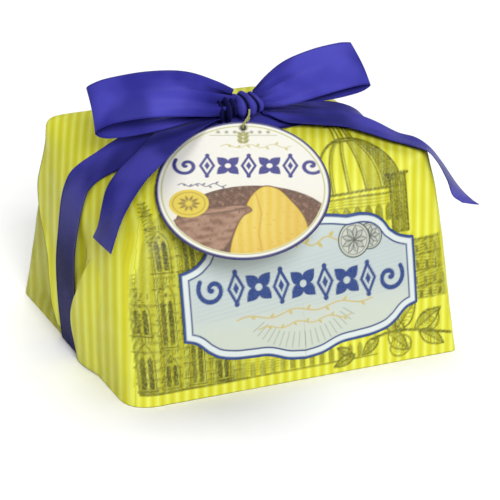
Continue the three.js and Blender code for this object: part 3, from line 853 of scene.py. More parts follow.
# The free edge of each end's folded flap, as depth and height, from the top down.
FLAP_EDGE = ((84, 147), (77, 124), (74, 100), (64, 86), (49, 74), (37, 62), (30, 40), (27, 8))
FINE_STEP = 0.95
PLAIN_STEP = 2.2
BACK_STEP = 1.4


def flap_edge_at(height):
    """The depth of the flap's free edge at a height."""
    route = curve_through(FLAP_EDGE, 60)
    return np.interp(height, route[::-1, 1], route[::-1, 0])


def paper_relief(points):
    """How far the paper stands off its plain shape: hollows beside the ribbon, swellings where it
    is pulled in, sunken paper behind each end's flap, and soft crumpling."""
    x, y, z = points.T
    # Broad soft waves and finer crumpling over the whole sheet.
    relief = 0.55 * ripple(points, 64, 1) + 0.18 * ripple(points, 21, 2)
    # Behind the flap the sheet sinks, most of all next to the flap's edge.
    on_end = smooth_step(np.abs(x), 104, 120) * smooth_step(150 - z, 0, 24)
    behind = y - flap_edge_at(z)
    relief -= on_end * 8.0 * smooth_step(behind, -2, 2) * smooth_step(118 - y, 0, 52) ** 0.7
    # On the left end: a hollow beside the ribbon, a swelling below it, a crease up above.
    left = on_end * (x < 0)
    relief -= left * 6.5 * np.exp(-((y + 23) / 11) ** 2 - ((z - 84) / 17) ** 2)
    relief += left * 2.6 * np.exp(-((y + 40) / 20) ** 2 - ((z - 44) / 26) ** 2)
    relief -= left * 2.4 * np.exp(-((y + 52 + (z - 110) * 0.25) / 7) ** 2) * smooth_step(z, 84, 120)
    # On the crown: pressed flat under the ribbon, with puckers that run out from the knot.
    on_crown = smooth_step(z, 140, 160)
    across = np.abs(y - KNOT[1])
    relief -= on_crown * 1.3 * np.exp(-(across / 24) ** 4)
    bearing = np.arctan2(y - KNOT[1], x - KNOT[0])
    reach = np.hypot(y - KNOT[1], x - KNOT[0])
    relief += on_crown * 1.0 * np.sin(bearing * 11 + 0.6) * np.exp(-((reach - 34) / 26) ** 2)
    return relief * smooth_step(z, -2, 12)


def paper_stripes(points):
    """How far across the printed stripes each point lies. The right end is folded from the
    sheet's side, so its stripes run straight up it; on the left end they keep the slant of the
    sheet, whatever the hollows in the paper there."""
    x, y, z = points.T
    past_end, past_face = past_walls(points)
    on_end = past_end > np.maximum(past_face, z - CROWN_HEIGHT + 6)
    sunk = np.minimum(past_end + 2, 0) * (1 - smooth_step(z, 110, 145))
    flat_x = x + np.where(on_end & (x < 0), sunk, 0)
    return np.where(on_end & (x > 0), STRIPE_WAY[0] * y, STRIPE_WAY[0] * flat_x + STRIPE_WAY[1] * y)


def pack_rays():
    """The way out from the middle for each column: round the base, closest on the printed faces."""
    half_x, half_y = BASE_LENGTH / 2, BASE_DEPTH / 2
    sides = [((-half_x, -half_y), (half_x, -half_y), FINE_STEP),
             ((half_x, -half_y), (half_x, half_y), PLAIN_STEP),
             ((half_x, half_y), (-half_x, half_y), BACK_STEP),
             ((-half_x, half_y), (-half_x, -half_y), PLAIN_STEP)]
    stops = []
    for start, end, step in sides:
        count = int(math.dist(start, end) / step)
        stops.append(np.linspace(start, end, count, endpoint=False))
    stops = np.vstack(stops)
    return stops / np.linalg.norm(stops, axis=1, keepdims=True)


def column_lifts(ways, foot_radius):
    """Lift angles of each column's rows: close together up the wall and over the edge, wider
    apart on the crown."""
    lowest = np.arctan2(-MIDDLE_HEIGHT, foot_radius)
    trial = np.linspace(0, 1, 110)
    lifts = lowest[:, None] + (math.pi / 2 - lowest[:, None]) * trial
    spots = on_skin((0, 0, MIDDLE_HEIGHT), np.stack([
        np.cos(lifts) * ways[:, :1], np.cos(lifts) * ways[:, 1:], np.sin(lifts)], axis=-1))
    runs = np.linalg.norm(np.diff(spots, axis=1), axis=-1)
    length = np.column_stack([np.zeros(len(ways)), np.cumsum(runs, axis=1)])
    # About how far it is from the foot, up a wall and over, to the middle of the crown.
    usual_run = 262
    fine_share = 0.76
    wall_rows = int(fine_share * usual_run / FINE_STEP)
    crown_rows = int((1 - fine_share) * usual_run / PLAIN_STEP)
    shares = np.concatenate([
        np.linspace(0, fine_share, wall_rows, endpoint=False), np.linspace(fine_share, 1, crown_rows)[:-1]])
    return np.array([np.interp(shares * run[-1], run, lift) for run, lift in zip(length, lifts)]).T


def paper_skin(relief):
    """Rows of points up the pack, then its top point, with the paper's relief."""
    ways = pack_rays()
    foot = on_skin((0, 0, 0), np.column_stack([ways, np.zeros(len(ways))]))
    lifts = column_lifts(ways, np.hypot(foot[:, 0], foot[:, 1]))
    out = np.stack([np.cos(lifts) * ways[:, 0], np.cos(lifts) * ways[:, 1], np.sin(lifts)], axis=-1)
    spots = on_skin((0, 0, MIDDLE_HEIGHT), out)
    offs = relief(spots.reshape(-1, 3)).reshape(spots.shape[:-1])
    spots = on_skin((0, 0, MIDDLE_HEIGHT), out, offs)
    spots[0] = foot
    return spots, on_skin((0, 0, MIDDLE_HEIGHT), (0, 0, 1))


def painted_shade_behind_flap(points):
    """Painted shade on the sheet behind each end's flap, in place of the flap's shadow: darker
    there, most of all along the flap."""
    x, y, z = points.T
    past = y - flap_edge_at(z)
    on_end = smooth_step(np.abs(x), 100, 114) * smooth_step(150 - z, 0, 10)
    shade = 0.3 + 0.3 * np.exp(-np.abs(past) / 5)
    return on_end * smooth_step(past, -1, 1.5) * shade * smooth_step(z, -2, 3)


def make_wrapping(paper):
    """The wrapped sheet: its printed outside down to the fold under the pack, and its base."""
    spots, top = paper_skin(paper_relief)
    rows, columns, _ = spots.shape
    points = [spots.reshape(-1, 3), top[None]]
    faces = grid_faces(rows, columns, closed_columns=True)
    last = (rows - 1) * columns
    peak = rows * columns
    faces += [(last + j, last + (j + 1) % columns, peak) for j in range(columns)]
    # The underside turns in round a small radius and lies flat, two millimetres up.
    rings = [(0.3, 0.6), (1.0, 1.4), (3.2, 2.0)]
    base = peak + 1
    for inward, height in rings:
        shrink = 1 - inward / np.hypot(spots[0, :, 0], spots[0, :, 1])
        points.append(np.column_stack([spots[0, :, :2] * shrink[:, None], np.full(columns, height)]))
    points.append(np.array([[0, 0, 2.0]]))
    below = [range(columns)]
    below += [range(base + k * columns, base + (k + 1) * columns) for k in range(len(rings))]
    for outer, inner in zip(below, below[1:]):
        for j in range(columns):
            k = (j + 1) % columns
            faces.append((outer[k], outer[j], inner[j], inner[k]))
    middle = base + len(rings) * columns
    faces += [(below[-1][(j + 1) % columns], below[-1][j], middle) for j in range(columns)]
    points = np.vstack(points)
    ink = paper_drawing(points)
    ink[points[:, 2] < 2.5] = 0
    # Painted shade behind the end flaps goes into the ink, darkening the paper as print would.
    ink = np.maximum(ink, painted_shade_behind_flap(points))
    make_piece("gift_paper_wrap", points, faces, paper, "printed_paper", "wrapping_paper",
               ink=ink, stripe=paper_stripes(points))


def make_end_flap(name, node, side, paper):
    """A folded flap of paper on one end: tucked under the ribbon, its free edge standing off.
    Its top runs out into the paper above it."""
    edge = curve_through(FLAP_EDGE, 90)
    tuck = 12.0
    shares = np.linspace(0, 1, 34)
    depth = tuck + (edge[:, :1] - tuck) * shares
    height = np.repeat(edge[:, 1:], len(shares), axis=1)
    clear = 1 - smooth_step(height, 104, 140)
    lift = 0.35 + 3.4 * shares ** 3 * clear + 0.5 * np.sin(height / 17.0) * shares ** 2 * clear
    lift = lift * (smooth_step(height, 2, 30) * 0.75 + 0.25) - 1.4 * smooth_step(height, 118, 146)
    starts = np.stack([np.zeros_like(depth), depth, height], axis=-1)
    plain = on_skin(starts, (side, 0, 0))
    covered = plain.reshape(-1, 3) - (0, 1, 0) * np.clip(depth - edge[:, :1] + 5, 0, 9).reshape(-1, 1)
    relief = paper_relief(covered).reshape(depth.shape)
    middle = on_skin(starts, (side, 0, 0), relief + lift)
    points, faces = sheet_solid(middle, 0.35)
    # Painted shade: a dark line along the flap's free edge, where its shadow falls.
    painted_edge_shade = np.tile(0.75 * smooth_step(shares[None] + 0 * height, 0.975, 1.0).ravel(), 2)
    # Soft random darker streaks, long up the flap, laid on as ink.
    soft_streaks = 0.12 * np.clip(ripple(points * (1, 1, 0.4), 26, 51), 0, 1)
    make_piece(name, points, faces, paper, "printed_paper", node,
               ink=np.maximum(painted_edge_shade, soft_streaks), stripe=paper_stripes(points))


# Where the front fold's free edge lies on the left end, as depth and height, from the top down.
FOLD_EDGE = (
    (-38, 99), (-42, 87), (-38, 76), (-33, 64), (-22, 49),
    (-15, 37), (-13, 28), (-14, 18), (-18, 9), (-20, 1))


def make_front_fold(paper):
    """The front of the left end swells over the ribbon's edge low down: a fold of paper that
    rises out of the end wall and laps over the band."""
    edge = curve_through(FOLD_EDGE, 70)
    shares = np.linspace(0, 1, 30)
    start = -88.0
    depth = start + (edge[:, :1] - start) * shares
    height = np.repeat(edge[:, 1:], len(shares), axis=1)
    low_down = 1 - smooth_step(height, 70, 100)
    rise = smooth_step(shares[None, :], 0.15, 1.0) ** 1.2
    lift = low_down * (rise * 6.4 - 1.2) - (1 - low_down) * 2.2
    lift += low_down * 0.8 * np.sin(depth / 8.5 + height / 23.0) * rise
    lift -= low_down * 2.4 * smooth_step(shares[None, :], 0.93, 1.0)
    starts = np.stack([np.zeros_like(depth), depth, height], axis=-1)
    plain = on_skin(starts, (-1, 0, 0))
    relief = paper_relief(plain.reshape(-1, 3)).reshape(depth.shape)
    points, faces = sheet_solid(on_skin(starts, (-1, 0, 0), relief + lift), 0.35)
    # Painted shade: a dark line along the fold's free edge, where its shadow falls.
    painted_edge_shade = np.tile(0.5 * smooth_step(shares[None] + 0 * height, 0.965, 1.0).ravel(), 2)
    make_piece("left_end_fold", points, faces, paper, "printed_paper",
               ink=painted_edge_shade, stripe=paper_stripes(points))


def make_underside(paper, label_stock):
    """Folded triangles of paper on the underside, and the round seal over their meeting point."""
    seal_low, seal_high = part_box("underside_seal")
    seal_middle = (np.array(seal_low + seal_high) / 2 - PACK_MIDDLE) / MM
    radius = (seal_high.x - seal_low.x) / 2 / MM
    for name, side in (("underside_fold_left", -1), ("underside_fold_right", 1)):
        corners = np.array([(side * 122, 112), (side * 6, 84), (side * 122, 27)], float)
        shares = np.linspace(0, 1, 12)
        rows = []
        for share in shares:
            a = corners[0] + (corners[1] - corners[0]) * share
            b = corners[2] + (corners[1] - corners[2]) * share
            across = np.linspace(0.02, 0.98, 9)
            rows.append([np.append(a + (b - a) * t, 1.35 - 0.2 * share) for t in across])
        points, faces = sheet_solid(np.array(rows), 0.3, np.array([0, 0, 1.0]))
        make_piece(name, points, faces, paper, "printed_paper", smooth=False,
                   ink=np.zeros(len(points)), stripe=points[:, 0] * 0.7 + points[:, 1] * 0.7 * side)
    angles = np.linspace(0, 2 * math.pi, 72, endpoint=False)
    rings = [(radius * share, 0.5) for share in (0.02, 0.3, 0.6, 0.8, 0.9, 0.97, 1.0)]
    rings += [(radius, 0.75), (radius * 0.5, 0.75), (radius * 0.02, 0.75)]
    points = np.array([(seal_middle[0] + r * math.cos(a), seal_middle[1] + r * math.sin(a), z)
                       for r, z in rings for a in angles])
    faces = capped_faces(len(rings), len(angles))
    flat = points[:, :2] - seal_middle[:2]
    art = Drawing(flat, "#f3efdc")
    art.stroke(ellipse((0, 0), radius - 2, radius - 2, 60)[list(range(60)) + [0]], 1.2, "#1f4f9e")
    for k in range(8):
        a = k * math.pi / 4
        way = np.array([math.cos(a), math.sin(a)])
        art.shape(leaf(5 * way, 18 * way, 0.2), "#1f4f9e")
    make_piece("underside_seal_disc", points, faces, label_stock, "label_paper", "underside_seal",
               picture=art.layer)


# ------------------------------------------------------------------ satin ribbon

RIBBON_WIDTH = 40
RIBBON_THICK = 0.5
BAND_STAND_OFF = 1.6
KNOT = np.array([-2.0, -27.0, 183.0])
KNOT_HALF = (12, 14, 7.5)


def ribbon_weave(middle):
    """How far along and across the ribbon each place of a sheet round `middle` lies, for both of
    its faces, and the ribbon's length down its middle."""
    rows, columns, _ = middle.shape
    runs = np.linalg.norm(np.diff(middle[:, columns // 2], axis=0), axis=1)
    along = np.repeat(np.concatenate([[0], np.cumsum(runs)]), columns)
    across = np.tile(np.linspace(0, 1, columns), rows)
    return {"along": np.tile(along, 2), "across": np.tile(across, 2)}, float(runs.sum())


def ribbon_piece(name, middle, satin, node, gather=None):
    """A ribbon from a grid of middle points: rows along it, columns from edge to edge.
    `gather` is how much painted shade each place takes, as shade deep in its folds."""
    points, faces = sheet_solid(middle, RIBBON_THICK)
    weave, _ = ribbon_weave(middle)
    gather = np.zeros(middle.shape[:2]) if gather is None else gather
    made = make_piece(name, points, faces, satin, "satin_ribbon", node,
                      gather=np.tile(gather.ravel(), 2), **weave)
    cut_length = np.linalg.norm(np.diff(middle, axis=0), axis=-1).sum(axis=0).mean() * MM
    return made, round(float(cut_length), 3)


def between_edges(stations, rows, columns, folds=None):
    """A grid between two edges, each a smooth curve through its stations; `folds` gives how far
    each place stands off the flat, from its share along and across."""
    stations = np.asarray(stations, float)
    left = curve_through(stations[:, 0], rows)
    right = curve_through(stations[:, 1], rows)
    shares = np.linspace(0, 1, columns)
    middle = left[:, None] + (right - left)[:, None] * shares[None, :, None]
    if folds is not None:
        normal = unit(np.cross(np.gradient(middle, axis=0), np.gradient(middle, axis=1)))
        along = np.linspace(0, 1, rows)
        middle = middle + normal * folds(along[:, None], shares[None, :])[..., None]
    return middle


def make_band(satin):
    """The band round the pack: up both ends and over the crown, drawn forward to the knot, and
    flat in its channel underneath."""
    columns = 15
    sides = np.linspace(-RIBBON_WIDTH / 2, RIBBON_WIDTH / 2, columns)
    foot_turn = math.atan2(-MIDDLE_HEIGHT, BASE_LENGTH / 2 + BAND_STAND_OFF)
    turns = np.linspace(foot_turn, math.pi - foot_turn, 220)
    ways = np.stack([np.cos(turns), np.zeros_like(turns), np.sin(turns)], axis=-1)[:, None]
    starts = np.stack([np.zeros_like(sides), sides, np.full_like(sides, MIDDLE_HEIGHT)], axis=-1)[None]
    plumb = on_skin(starts, ways, BAND_STAND_OFF)
    drift = KNOT[1] * smooth_step(plumb[..., 2], 128, 166)
    starts = np.broadcast_to(starts, plumb.shape).copy()
    starts[..., 1] += drift
    height = plumb[..., 2]
    slack = 0.35 * np.sin(height / 9.0 + sides / 15) * smooth_step(height, 30, 100)
    slack += 0.5 * np.sin(sides / 6.0 + height / 40) * smooth_step(height, 120, 165)
    over = on_skin(starts, ways, BAND_STAND_OFF + slack)
    over[..., 2] = np.maximum(over[..., 2], 0.45)
    under_x = np.linspace(-1, 1, 60)[1:-1, None] * (BASE_LENGTH / 2 - 2)
    under = np.stack(np.broadcast_arrays(under_x, sides[None], 0.45 + 0 * under_x), axis=-1)
    middle = np.concatenate([over, under])
    rows = len(middle)
    normal = unit(np.cross(np.roll(middle, -1, axis=0) - np.roll(middle, 1, axis=0),
                           np.gradient(middle, axis=1)))
    outer = (middle + normal * RIBBON_THICK / 2).reshape(-1, 3)
    inner = (middle - normal * RIBBON_THICK / 2).reshape(-1, 3)
    faces = grid_faces(rows, columns, closed_rows=True)
    count = rows * columns
    faces += [tuple(count + k for k in reversed(face)) for face in faces]
    for i in range(rows):
        a, b = i * columns, ((i + 1) % rows) * columns
        faces.append((b, a, count + a, count + b))
        a, b = a + columns - 1, b + columns - 1
        faces.append((a, b, count + b, count + a))
    points = np.vstack([outer, inner])
    points[:, 2] = np.maximum(points[:, 2], 0.1)
    weave, length = ribbon_weave(middle)
    # Painted shade: the band darkens down the ends towards the foot, and underneath.
    shade = 0.72 * (1 - smooth_step(middle[:, columns // 2, 2], 60, 170))
    band = make_piece("ribbon_round_pack", points, faces, satin, "satin_ribbon", "ribbon_band",
                      gather=np.tile(np.repeat(shade, columns), 2), **weave)


# How far out along the loop, how high and how wide the ribbon is, from the knot round to the knot.
LOOP_COURSE = (
    (0.0, 2.5, 18), (0.15, 8, 30), (0.35, 15, 38), (0.6, 17, 40), (0.8, 14, 40), (0.93, 9, 40),
    (1.0, 1, 40), (0.94, -6, 40), (0.8, -7, 40), (0.55, -3, 38), (0.3, 1, 30), (0.0, -1.5, 18))
# Each loop comes out of the knot from a little way inside it.
LOOP_ROOT = KNOT_HALF[0] - 3


def make_loop(name, node, side, out, across, length, fullness, folds, tuck, satin):
    """A bow loop: ribbon gathered at the knot, opening to its full width and turned back."""
    way = unit(np.array(out, float))
    width = np.array(across, float)
    width = unit(width - way * (width @ way))
    up = np.cross(way, width)
    up = up if up[2] > 0 else -up
    root = KNOT + (side * LOOP_ROOT, 0, 2.5)
    stations = []
    for reach, height, wide in LOOP_COURSE:
        middle = root + way * reach * length + up * height * fullness
        stations.append((middle - width * wide / 2, middle + width * wide / 2))
    middle = between_edges(stations, 150, 31, folds)
    along = np.linspace(0, 1, 150)[:, None]
    across_share = np.linspace(0, 1, 31)[None, :]
    # Painted shade in the gathers by the knot, `tuck` setting how strong it is.
    near_knot = np.clip(1 - along / 0.13, 0, 1) + np.clip(1 - (1 - along) / 0.16, 0, 1)
    crease_shade = np.clip(-np.sin(across_share * 2 * math.pi * 2.6 + folds.seed + along * 3) + 0.3, 0, 1)
    gather = np.clip(near_knot * (0.35 + crease_shade), 0, 1) * tuck
    loop, cut = ribbon_piece(name, middle, satin, node, gather)


def loop_folds(seed):
    """Gathers that run out from the knot and die away, and a soft wave along the loop."""
    def folds(along, across):
        near_knot = np.maximum(smooth_step(0.36 - along, 0, 0.36), smooth_step(along - 0.68, 0, 0.32))
        gathers = np.sin(across * 2 * math.pi * 2.6 + seed + along * 3)
        gathers = gathers + 0.5 * np.sin(across * 2 * math.pi * 4.7 + seed * 2)
        soft = 0.7 * np.sin(along * 11 + across * 2.4 + seed)
        cup = -1.3 * np.cos((across - 0.5) * math.pi) * np.sin(along * math.pi)
        return gathers * 2.1 * near_knot ** 1.4 + soft + cup
    folds.seed = seed
    return folds


def tail_folds(root_share, amount, seed):
    """Gathers by the knot, over the first `root_share` of the tail, then a soft wave."""
    def folds(along, across):
        near_knot = smooth_step(root_share - along, 0, root_share)
        gathers = np.sin(across * 2 * math.pi * 2.2 + seed + along * 4)
        soft = 0.6 * np.sin(along * 13 + across * 3 + seed)
        return gathers * amount * near_knot + soft * smooth_step(along, 0.05, 0.4)
    return folds


# Each tail's two edges from the knot to its cut end, as places of its left and right edge.
FRONT_TAIL = (
    ((-15, -17, 176.4), (-15, -34, 176)), ((-33, -18, 176.3), (-33, -43, 178)),
    ((-68, -26, 173), (-62, -62, 174.5)), ((-96, -47, 165), (-90, -83, 166)),
    ((-111, -53, 155), (-105, -90, 159)), ((-121, -57, 145), (-113, -93, 152)),
    ((-128, -63, 134), (-120, -98, 145)), ((-133, -67, 121), (-128, -102, 134)),
    ((-135, -65, 113), (-136, -102, 114)))
SIDE_TAIL = (
    ((11.4, -34, 176.2), (11.4, -20, 176.6)), ((21, -50, 173.2), (36, -22, 177)),
    ((41, -56, 171), (58, -29, 174)), ((64, -62, 168), (81, -35, 168)),
    ((76, -71, 164.5), (96, -46, 163)), ((93, -82, 158.5), (112, -53, 154.5)),
    ((103, -90, 156.5), (121, -63, 152.5)), ((112, -102, 154.5), (126, -75, 148)),
    ((116, -110, 148), (135, -78, 136)), ((122, -112, 135), (148, -84, 116)),
    ((131, -106, 118), (159, -86, 105)), ((140, -104, 111), (163, -90, 102)))


def make_tails(satin):
    """The two free ends: one over the front left corner, one curling out past the right."""
    # Name, solid, edges, rows, folds (reach from the knot, depth, start) and painted shade.
    tails = (("tail_over_front", "ribbon_tail_front", FRONT_TAIL, 110, (0.3, 1.3, 0.4), 0.2),
             ("tail_over_side", "ribbon_tail_side", SIDE_TAIL, 130, (0.25, 1.2, 1.9), 0.0))
    for name, node, stations, rows, folds, shade in tails:
        middle = between_edges(stations, rows, 25, tail_folds(*folds))
        tail, cut = ribbon_piece(name, middle, satin, node, np.full(middle.shape[:2], shade))


def ribbon_wad(name, centre, half, grooves, depth, shade, satin, node=None):
    """A turn of gathered ribbon about a lengthwise core: soft folds from front to back, pinched
    in at its two sides, with `grooves` between the folds; `shade` is painted shade all over it, deeper in
    the grooves."""
    rows, columns = 72, 41
    turns = np.linspace(0, 2 * math.pi, rows, endpoint=False)[:, None]
    shares = np.linspace(-1, 1, columns)[None]
    half_x, half_y, half_z = half
    swell = 1 - np.abs(shares) ** 2.4 * 0.32
    ring_y = np.sign(np.cos(turns)) * np.abs(np.cos(turns)) ** 0.75
    ring_z = np.sign(np.sin(turns)) * np.abs(np.sin(turns)) ** 0.8
    folds = np.sin(shares * grooves + np.sin(turns) * 1.5 + 0.4)
    size = swell + depth * folds - 0.04 * np.cos(turns * 3)
    x = centre[0] + half_x * (shares * (0.86 + 0.08 * np.cos(turns * 2)) + 0.13 * ring_z)
    y = centre[1] + half_y * ring_y * size
    z = centre[2] + half_z * ring_z * size
    points = np.stack([x, y, z], axis=-1).reshape(-1, 3)
    faces = grid_faces(rows, columns, closed_rows=True)
    for column in (0, columns - 1):
        rim = [i * columns + column for i in range(rows)]
        middle = points[rim].mean(axis=0) + (half_x * (0.18 if column == 0 else -0.18), 0, 0)
        ways = [(rim[k], rim[(k + 1) % rows]) for k in range(rows)]
        faces += [(a, b, len(points)) if column == 0 else (b, a, len(points)) for a, b in ways]
        points = np.vstack([points, middle])
    # Painted shade: `shade` all over, deeper in the grooves between the folds.
    crease_shade = np.clip(shade + (1 - shade) * np.clip(-folds * 1.2 - 0.1, 0, 1), 0, 1)
    along = np.append(np.repeat(turns.ravel() * half_y, columns), [0, 0])
    across = np.append(np.tile(np.linspace(0, 1, columns), rows), [0, 1])
    wad = make_piece(name, points, faces, satin, "satin_ribbon", node, along=along, across=across,
                     gather=np.append(crease_shade.ravel(), [1, 1]))


def make_knot(satin):
    """The knot, and beside it on the left the tuck where the loop's ribbon is drawn in, dark with painted
    shade.
    """
    ribbon_wad("knot_wrap", KNOT, KNOT_HALF, 8.4, 0.1, 0.22, satin, "bow_knot")
    ribbon_wad("knot_tuck", KNOT + (-18, -4.5, -0.5), (8, 9, 8), 7.0, 0.2, 0.8, satin)


# ------------------------------------------------------------------ hang tag and its cord

TAG_RADIUS = 62
TAG_THICK = 1.2
# The tag leans back on the ribbon, turned a little to the left.
TAG_TURN = math.radians(-23.6)
TAG_LEAN = math.radians(58.5)
TAG_CENTRE = np.array([-35, -100.5, 145.9])
HOLE_RADIUS = 2.6
HOLE_INSET = 6
TAG_ACROSS = np.array([math.cos(TAG_TURN), math.sin(TAG_TURN), 0])
TAG_UP = np.array([-math.sin(TAG_TURN) * math.sin(TAG_LEAN), math.cos(TAG_TURN) * math.sin(TAG_LEAN),
                   math.cos(TAG_LEAN)])
TAG_FACE = np.cross(TAG_ACROSS, TAG_UP)
CORD_DIAMETER = 1.6


def on_tag(flat, off=0.0):
    """A place on the tag: across it, up it and off its back face."""
    flat = np.asarray(flat, float)
    raised = np.asarray(off)[..., None] * TAG_FACE
    return TAG_CENTRE + flat[..., :1] * TAG_ACROSS + flat[..., 1:2] * TAG_UP + raised


def draw_motif_row(art, left, right, centre, high, colours, count, slope=0.0):
    """A row of plain ornament, lozenges and four-petalled flowers in turn, between two scrolls."""
    main, light = colours
    pitch = (right - left) / count
    for k in range(count):
        x = left + pitch * (k + 0.5)
        middle = centre + slope * x
        if k % 2:
            for turn in range(4):
                a = math.pi / 4 + turn * math.pi / 2
                tip = (x + high * 0.5 * math.cos(a), middle + high * 0.5 * math.sin(a))
                art.shape(leaf((x, middle), tip, 0.34), main)
            art.shape(ellipse((x, middle), high * 0.1, high * 0.1, 12), light)
        else:
            half = pitch * 0.46
            for size, colour in ((1.0, main), (0.62, light), (0.34, main)):
                art.shape(ellipse((x, middle), half * size * 0.86, high / 2 * size, 4), colour)
            for hand in (-1, 1):
                art.shape(ellipse((x, middle + hand * high * 0.43), high * 0.075, high * 0.075, 10), main)
    for hand, x in ((-1, left - high * 0.34), (1, right + high * 0.34)):
        curl = scroll((x, centre + slope * x), high * 0.42, 1.35, -math.pi / 2, hand)
        art.stroke(curl, high * 0.13, main)


def draw_fine_line(art, left, right, height, swing, width, colour):
    """A fine waved line with small leaves, like pen flourish."""
    x = np.linspace(left, right, 60)
    y = height + swing * np.sin((x - left) / (right - left) * 6 * math.pi)
    route = np.column_stack([x, y])
    art.stroke(route, width, colour)
    for k in range(6, 56, 8):
        hand = 1 if (k // 8) % 2 else -1
        art.shape(leaf(route[k], route[k] + (swing * 1.6, hand * swing * 1.7), 0.26), colour)


def draw_cut_loaf(art):
    """A plain domed loaf with a wedge taken out, and a slice lying in front of it."""
    body = ellipse((8, -30), 55, 33, 44)
    art.shape(body, "#6b4128")
    chosen = art.near(body, 1)
    points = art.points[chosen]
    depth = within(points, body)
    art.lay(chosen, filled(depth) * smooth_step(-depth, -9, 0) * 0.55, "#5b3d2c")
    blister = 0.5 + 0.5 * ripple(points, 6, 11) + 0.35 * ripple(points, 2.6, 12)
    art.lay(chosen, filled(depth) * np.clip(blister - 0.5, 0, 0.5), "#b58f74")
    art.lay(chosen, filled(depth) * np.clip(0.2 - blister, 0, 0.5), "#4c2f22")
    crumb = curve_through([(-9, -60), (-7, -44), (0, -22), (7, -5), (15, 2), (24, 0), (33, -10), (42, -24),
                           (45, -36), (42, -48), (32, -60)], 44)
    art.outlined(crumb, 2.0, "#7a4a1e")
    art.shape(crumb, "#f2cf3a")
    chosen = art.near(crumb, 1)
    points = art.points[chosen]
    depth = filled(within(points, crumb) - 0.8)
    streak = 0.5 + 0.5 * np.sin(points[:, 0] * 0.95 + 0.5 * np.sin(points[:, 1] / 7))
    art.lay(chosen, depth * streak * 0.6, "#fbe377")
    shade = smooth_step(points[:, 0], 12, 46) * 0.35 + 0.25 * smooth_step(-points[:, 1], 30, 62)
    art.lay(chosen, depth * shade, "#e0a82c")
    holes = np.clip(ripple(points, 3.6, 21) * 0.8 - 0.5, 0, 0.5)
    art.lay(chosen, depth * holes, "#c98c1c")
    art.stroke([(9, -4), (13, -22), (11, -40), (14, -58)], 1.0, "#d79f25", 0.7)
    piece = curve_through([(-48, -28), (-38, -21), (-22, -17), (2, -15), (6, -19), (0, -24),
                           (-5, -34), (-9, -46), (-16, -55), (-30, -50), (-42, -40)], 40)
    art.outlined(np.asarray(piece), 1.4, "#5a3826", 0.8)
    art.shape(piece, "#8a5c40")
    chosen = art.near(piece, 1)
    points = art.points[chosen]
    depth = filled(within(points, piece) - 0.6)
    art.lay(chosen, depth * np.clip(0.4 + 0.6 * ripple(points * (0.5, 1.6), 9, 31), 0, 0.6), "#c9a084")
    art.lay(chosen, depth * np.clip(ripple(points, 5, 32) - 0.35, 0, 0.6), "#6b4632")
    art.stroke([(-46, -27), (-30, -23), (-14, -21), (2, -17)], 1.6, "#6b4632", 0.8)


def tag_picture(flat):
    """Printed face of the tag: ivory ground, indigo rim, fine lime ring, ornament and a picture."""
    art = Drawing(flat, "#fffdf2")
    radius = np.hypot(*flat.T)
    warm = smooth_step(-flat[:, 1], -14, 30)
    art.lay(np.arange(len(flat)), warm * 0.35, "#f6e7c4")
    draw_cut_loaf(art)
    draw_motif_row(art, -33, 41, 21, 22, ("#282a8c", "#fffdf2"), 5)
    draw_fine_line(art, -16, 34, 39, 1.5, 0.7, "#d9cf86")
    draw_fine_line(art, -46, -12, 3.5, 1.3, 0.8, "#77748c")
    art.stroke([(-24, 49), (24, 49)], 0.6, "#b9b88f")
    for x in range(-18, 19, 6):
        art.shape(ellipse((x, 52), 1.5, 1.5, 10), "#b3b294")
    # A small sprig under the hole.
    for hand in (-1, 1):
        for step in range(3):
            root = (0, 41.5 + step * 3.4)
            art.shape(leaf(root, (hand * 4.4, root[1] + 4), 0.26), "#a9a850")
    # A yellow seal with a ten-petalled flower, left of the loaf.
    art.shape(ellipse((-38, -13), 14, 12.5, 40), "#f0d636")
    art.outlined(ellipse((-38, -13), 11.4, 10, 36), 0.7, "#b89a1c")
    for k in range(10):
        a = k * math.pi / 5
        art.shape(leaf((-38 + 2 * math.cos(a), -13 + 2 * math.sin(a)),
                       (-38 + 8.2 * math.cos(a), -13 + 7.4 * math.sin(a)), 0.2), "#a08417")
    everywhere = np.arange(len(flat))
    margin = filled(radius - (TAG_RADIUS - 5.2))
    art.lay(everywhere, margin, "#fffef8")
    art.lay(everywhere, filled(0.45 - np.abs(radius - (TAG_RADIUS - 4.4))), "#c8ca5e")
    art.lay(everywhere, filled(radius - (TAG_RADIUS - 1.9)), "#26266e")
    return art.layer


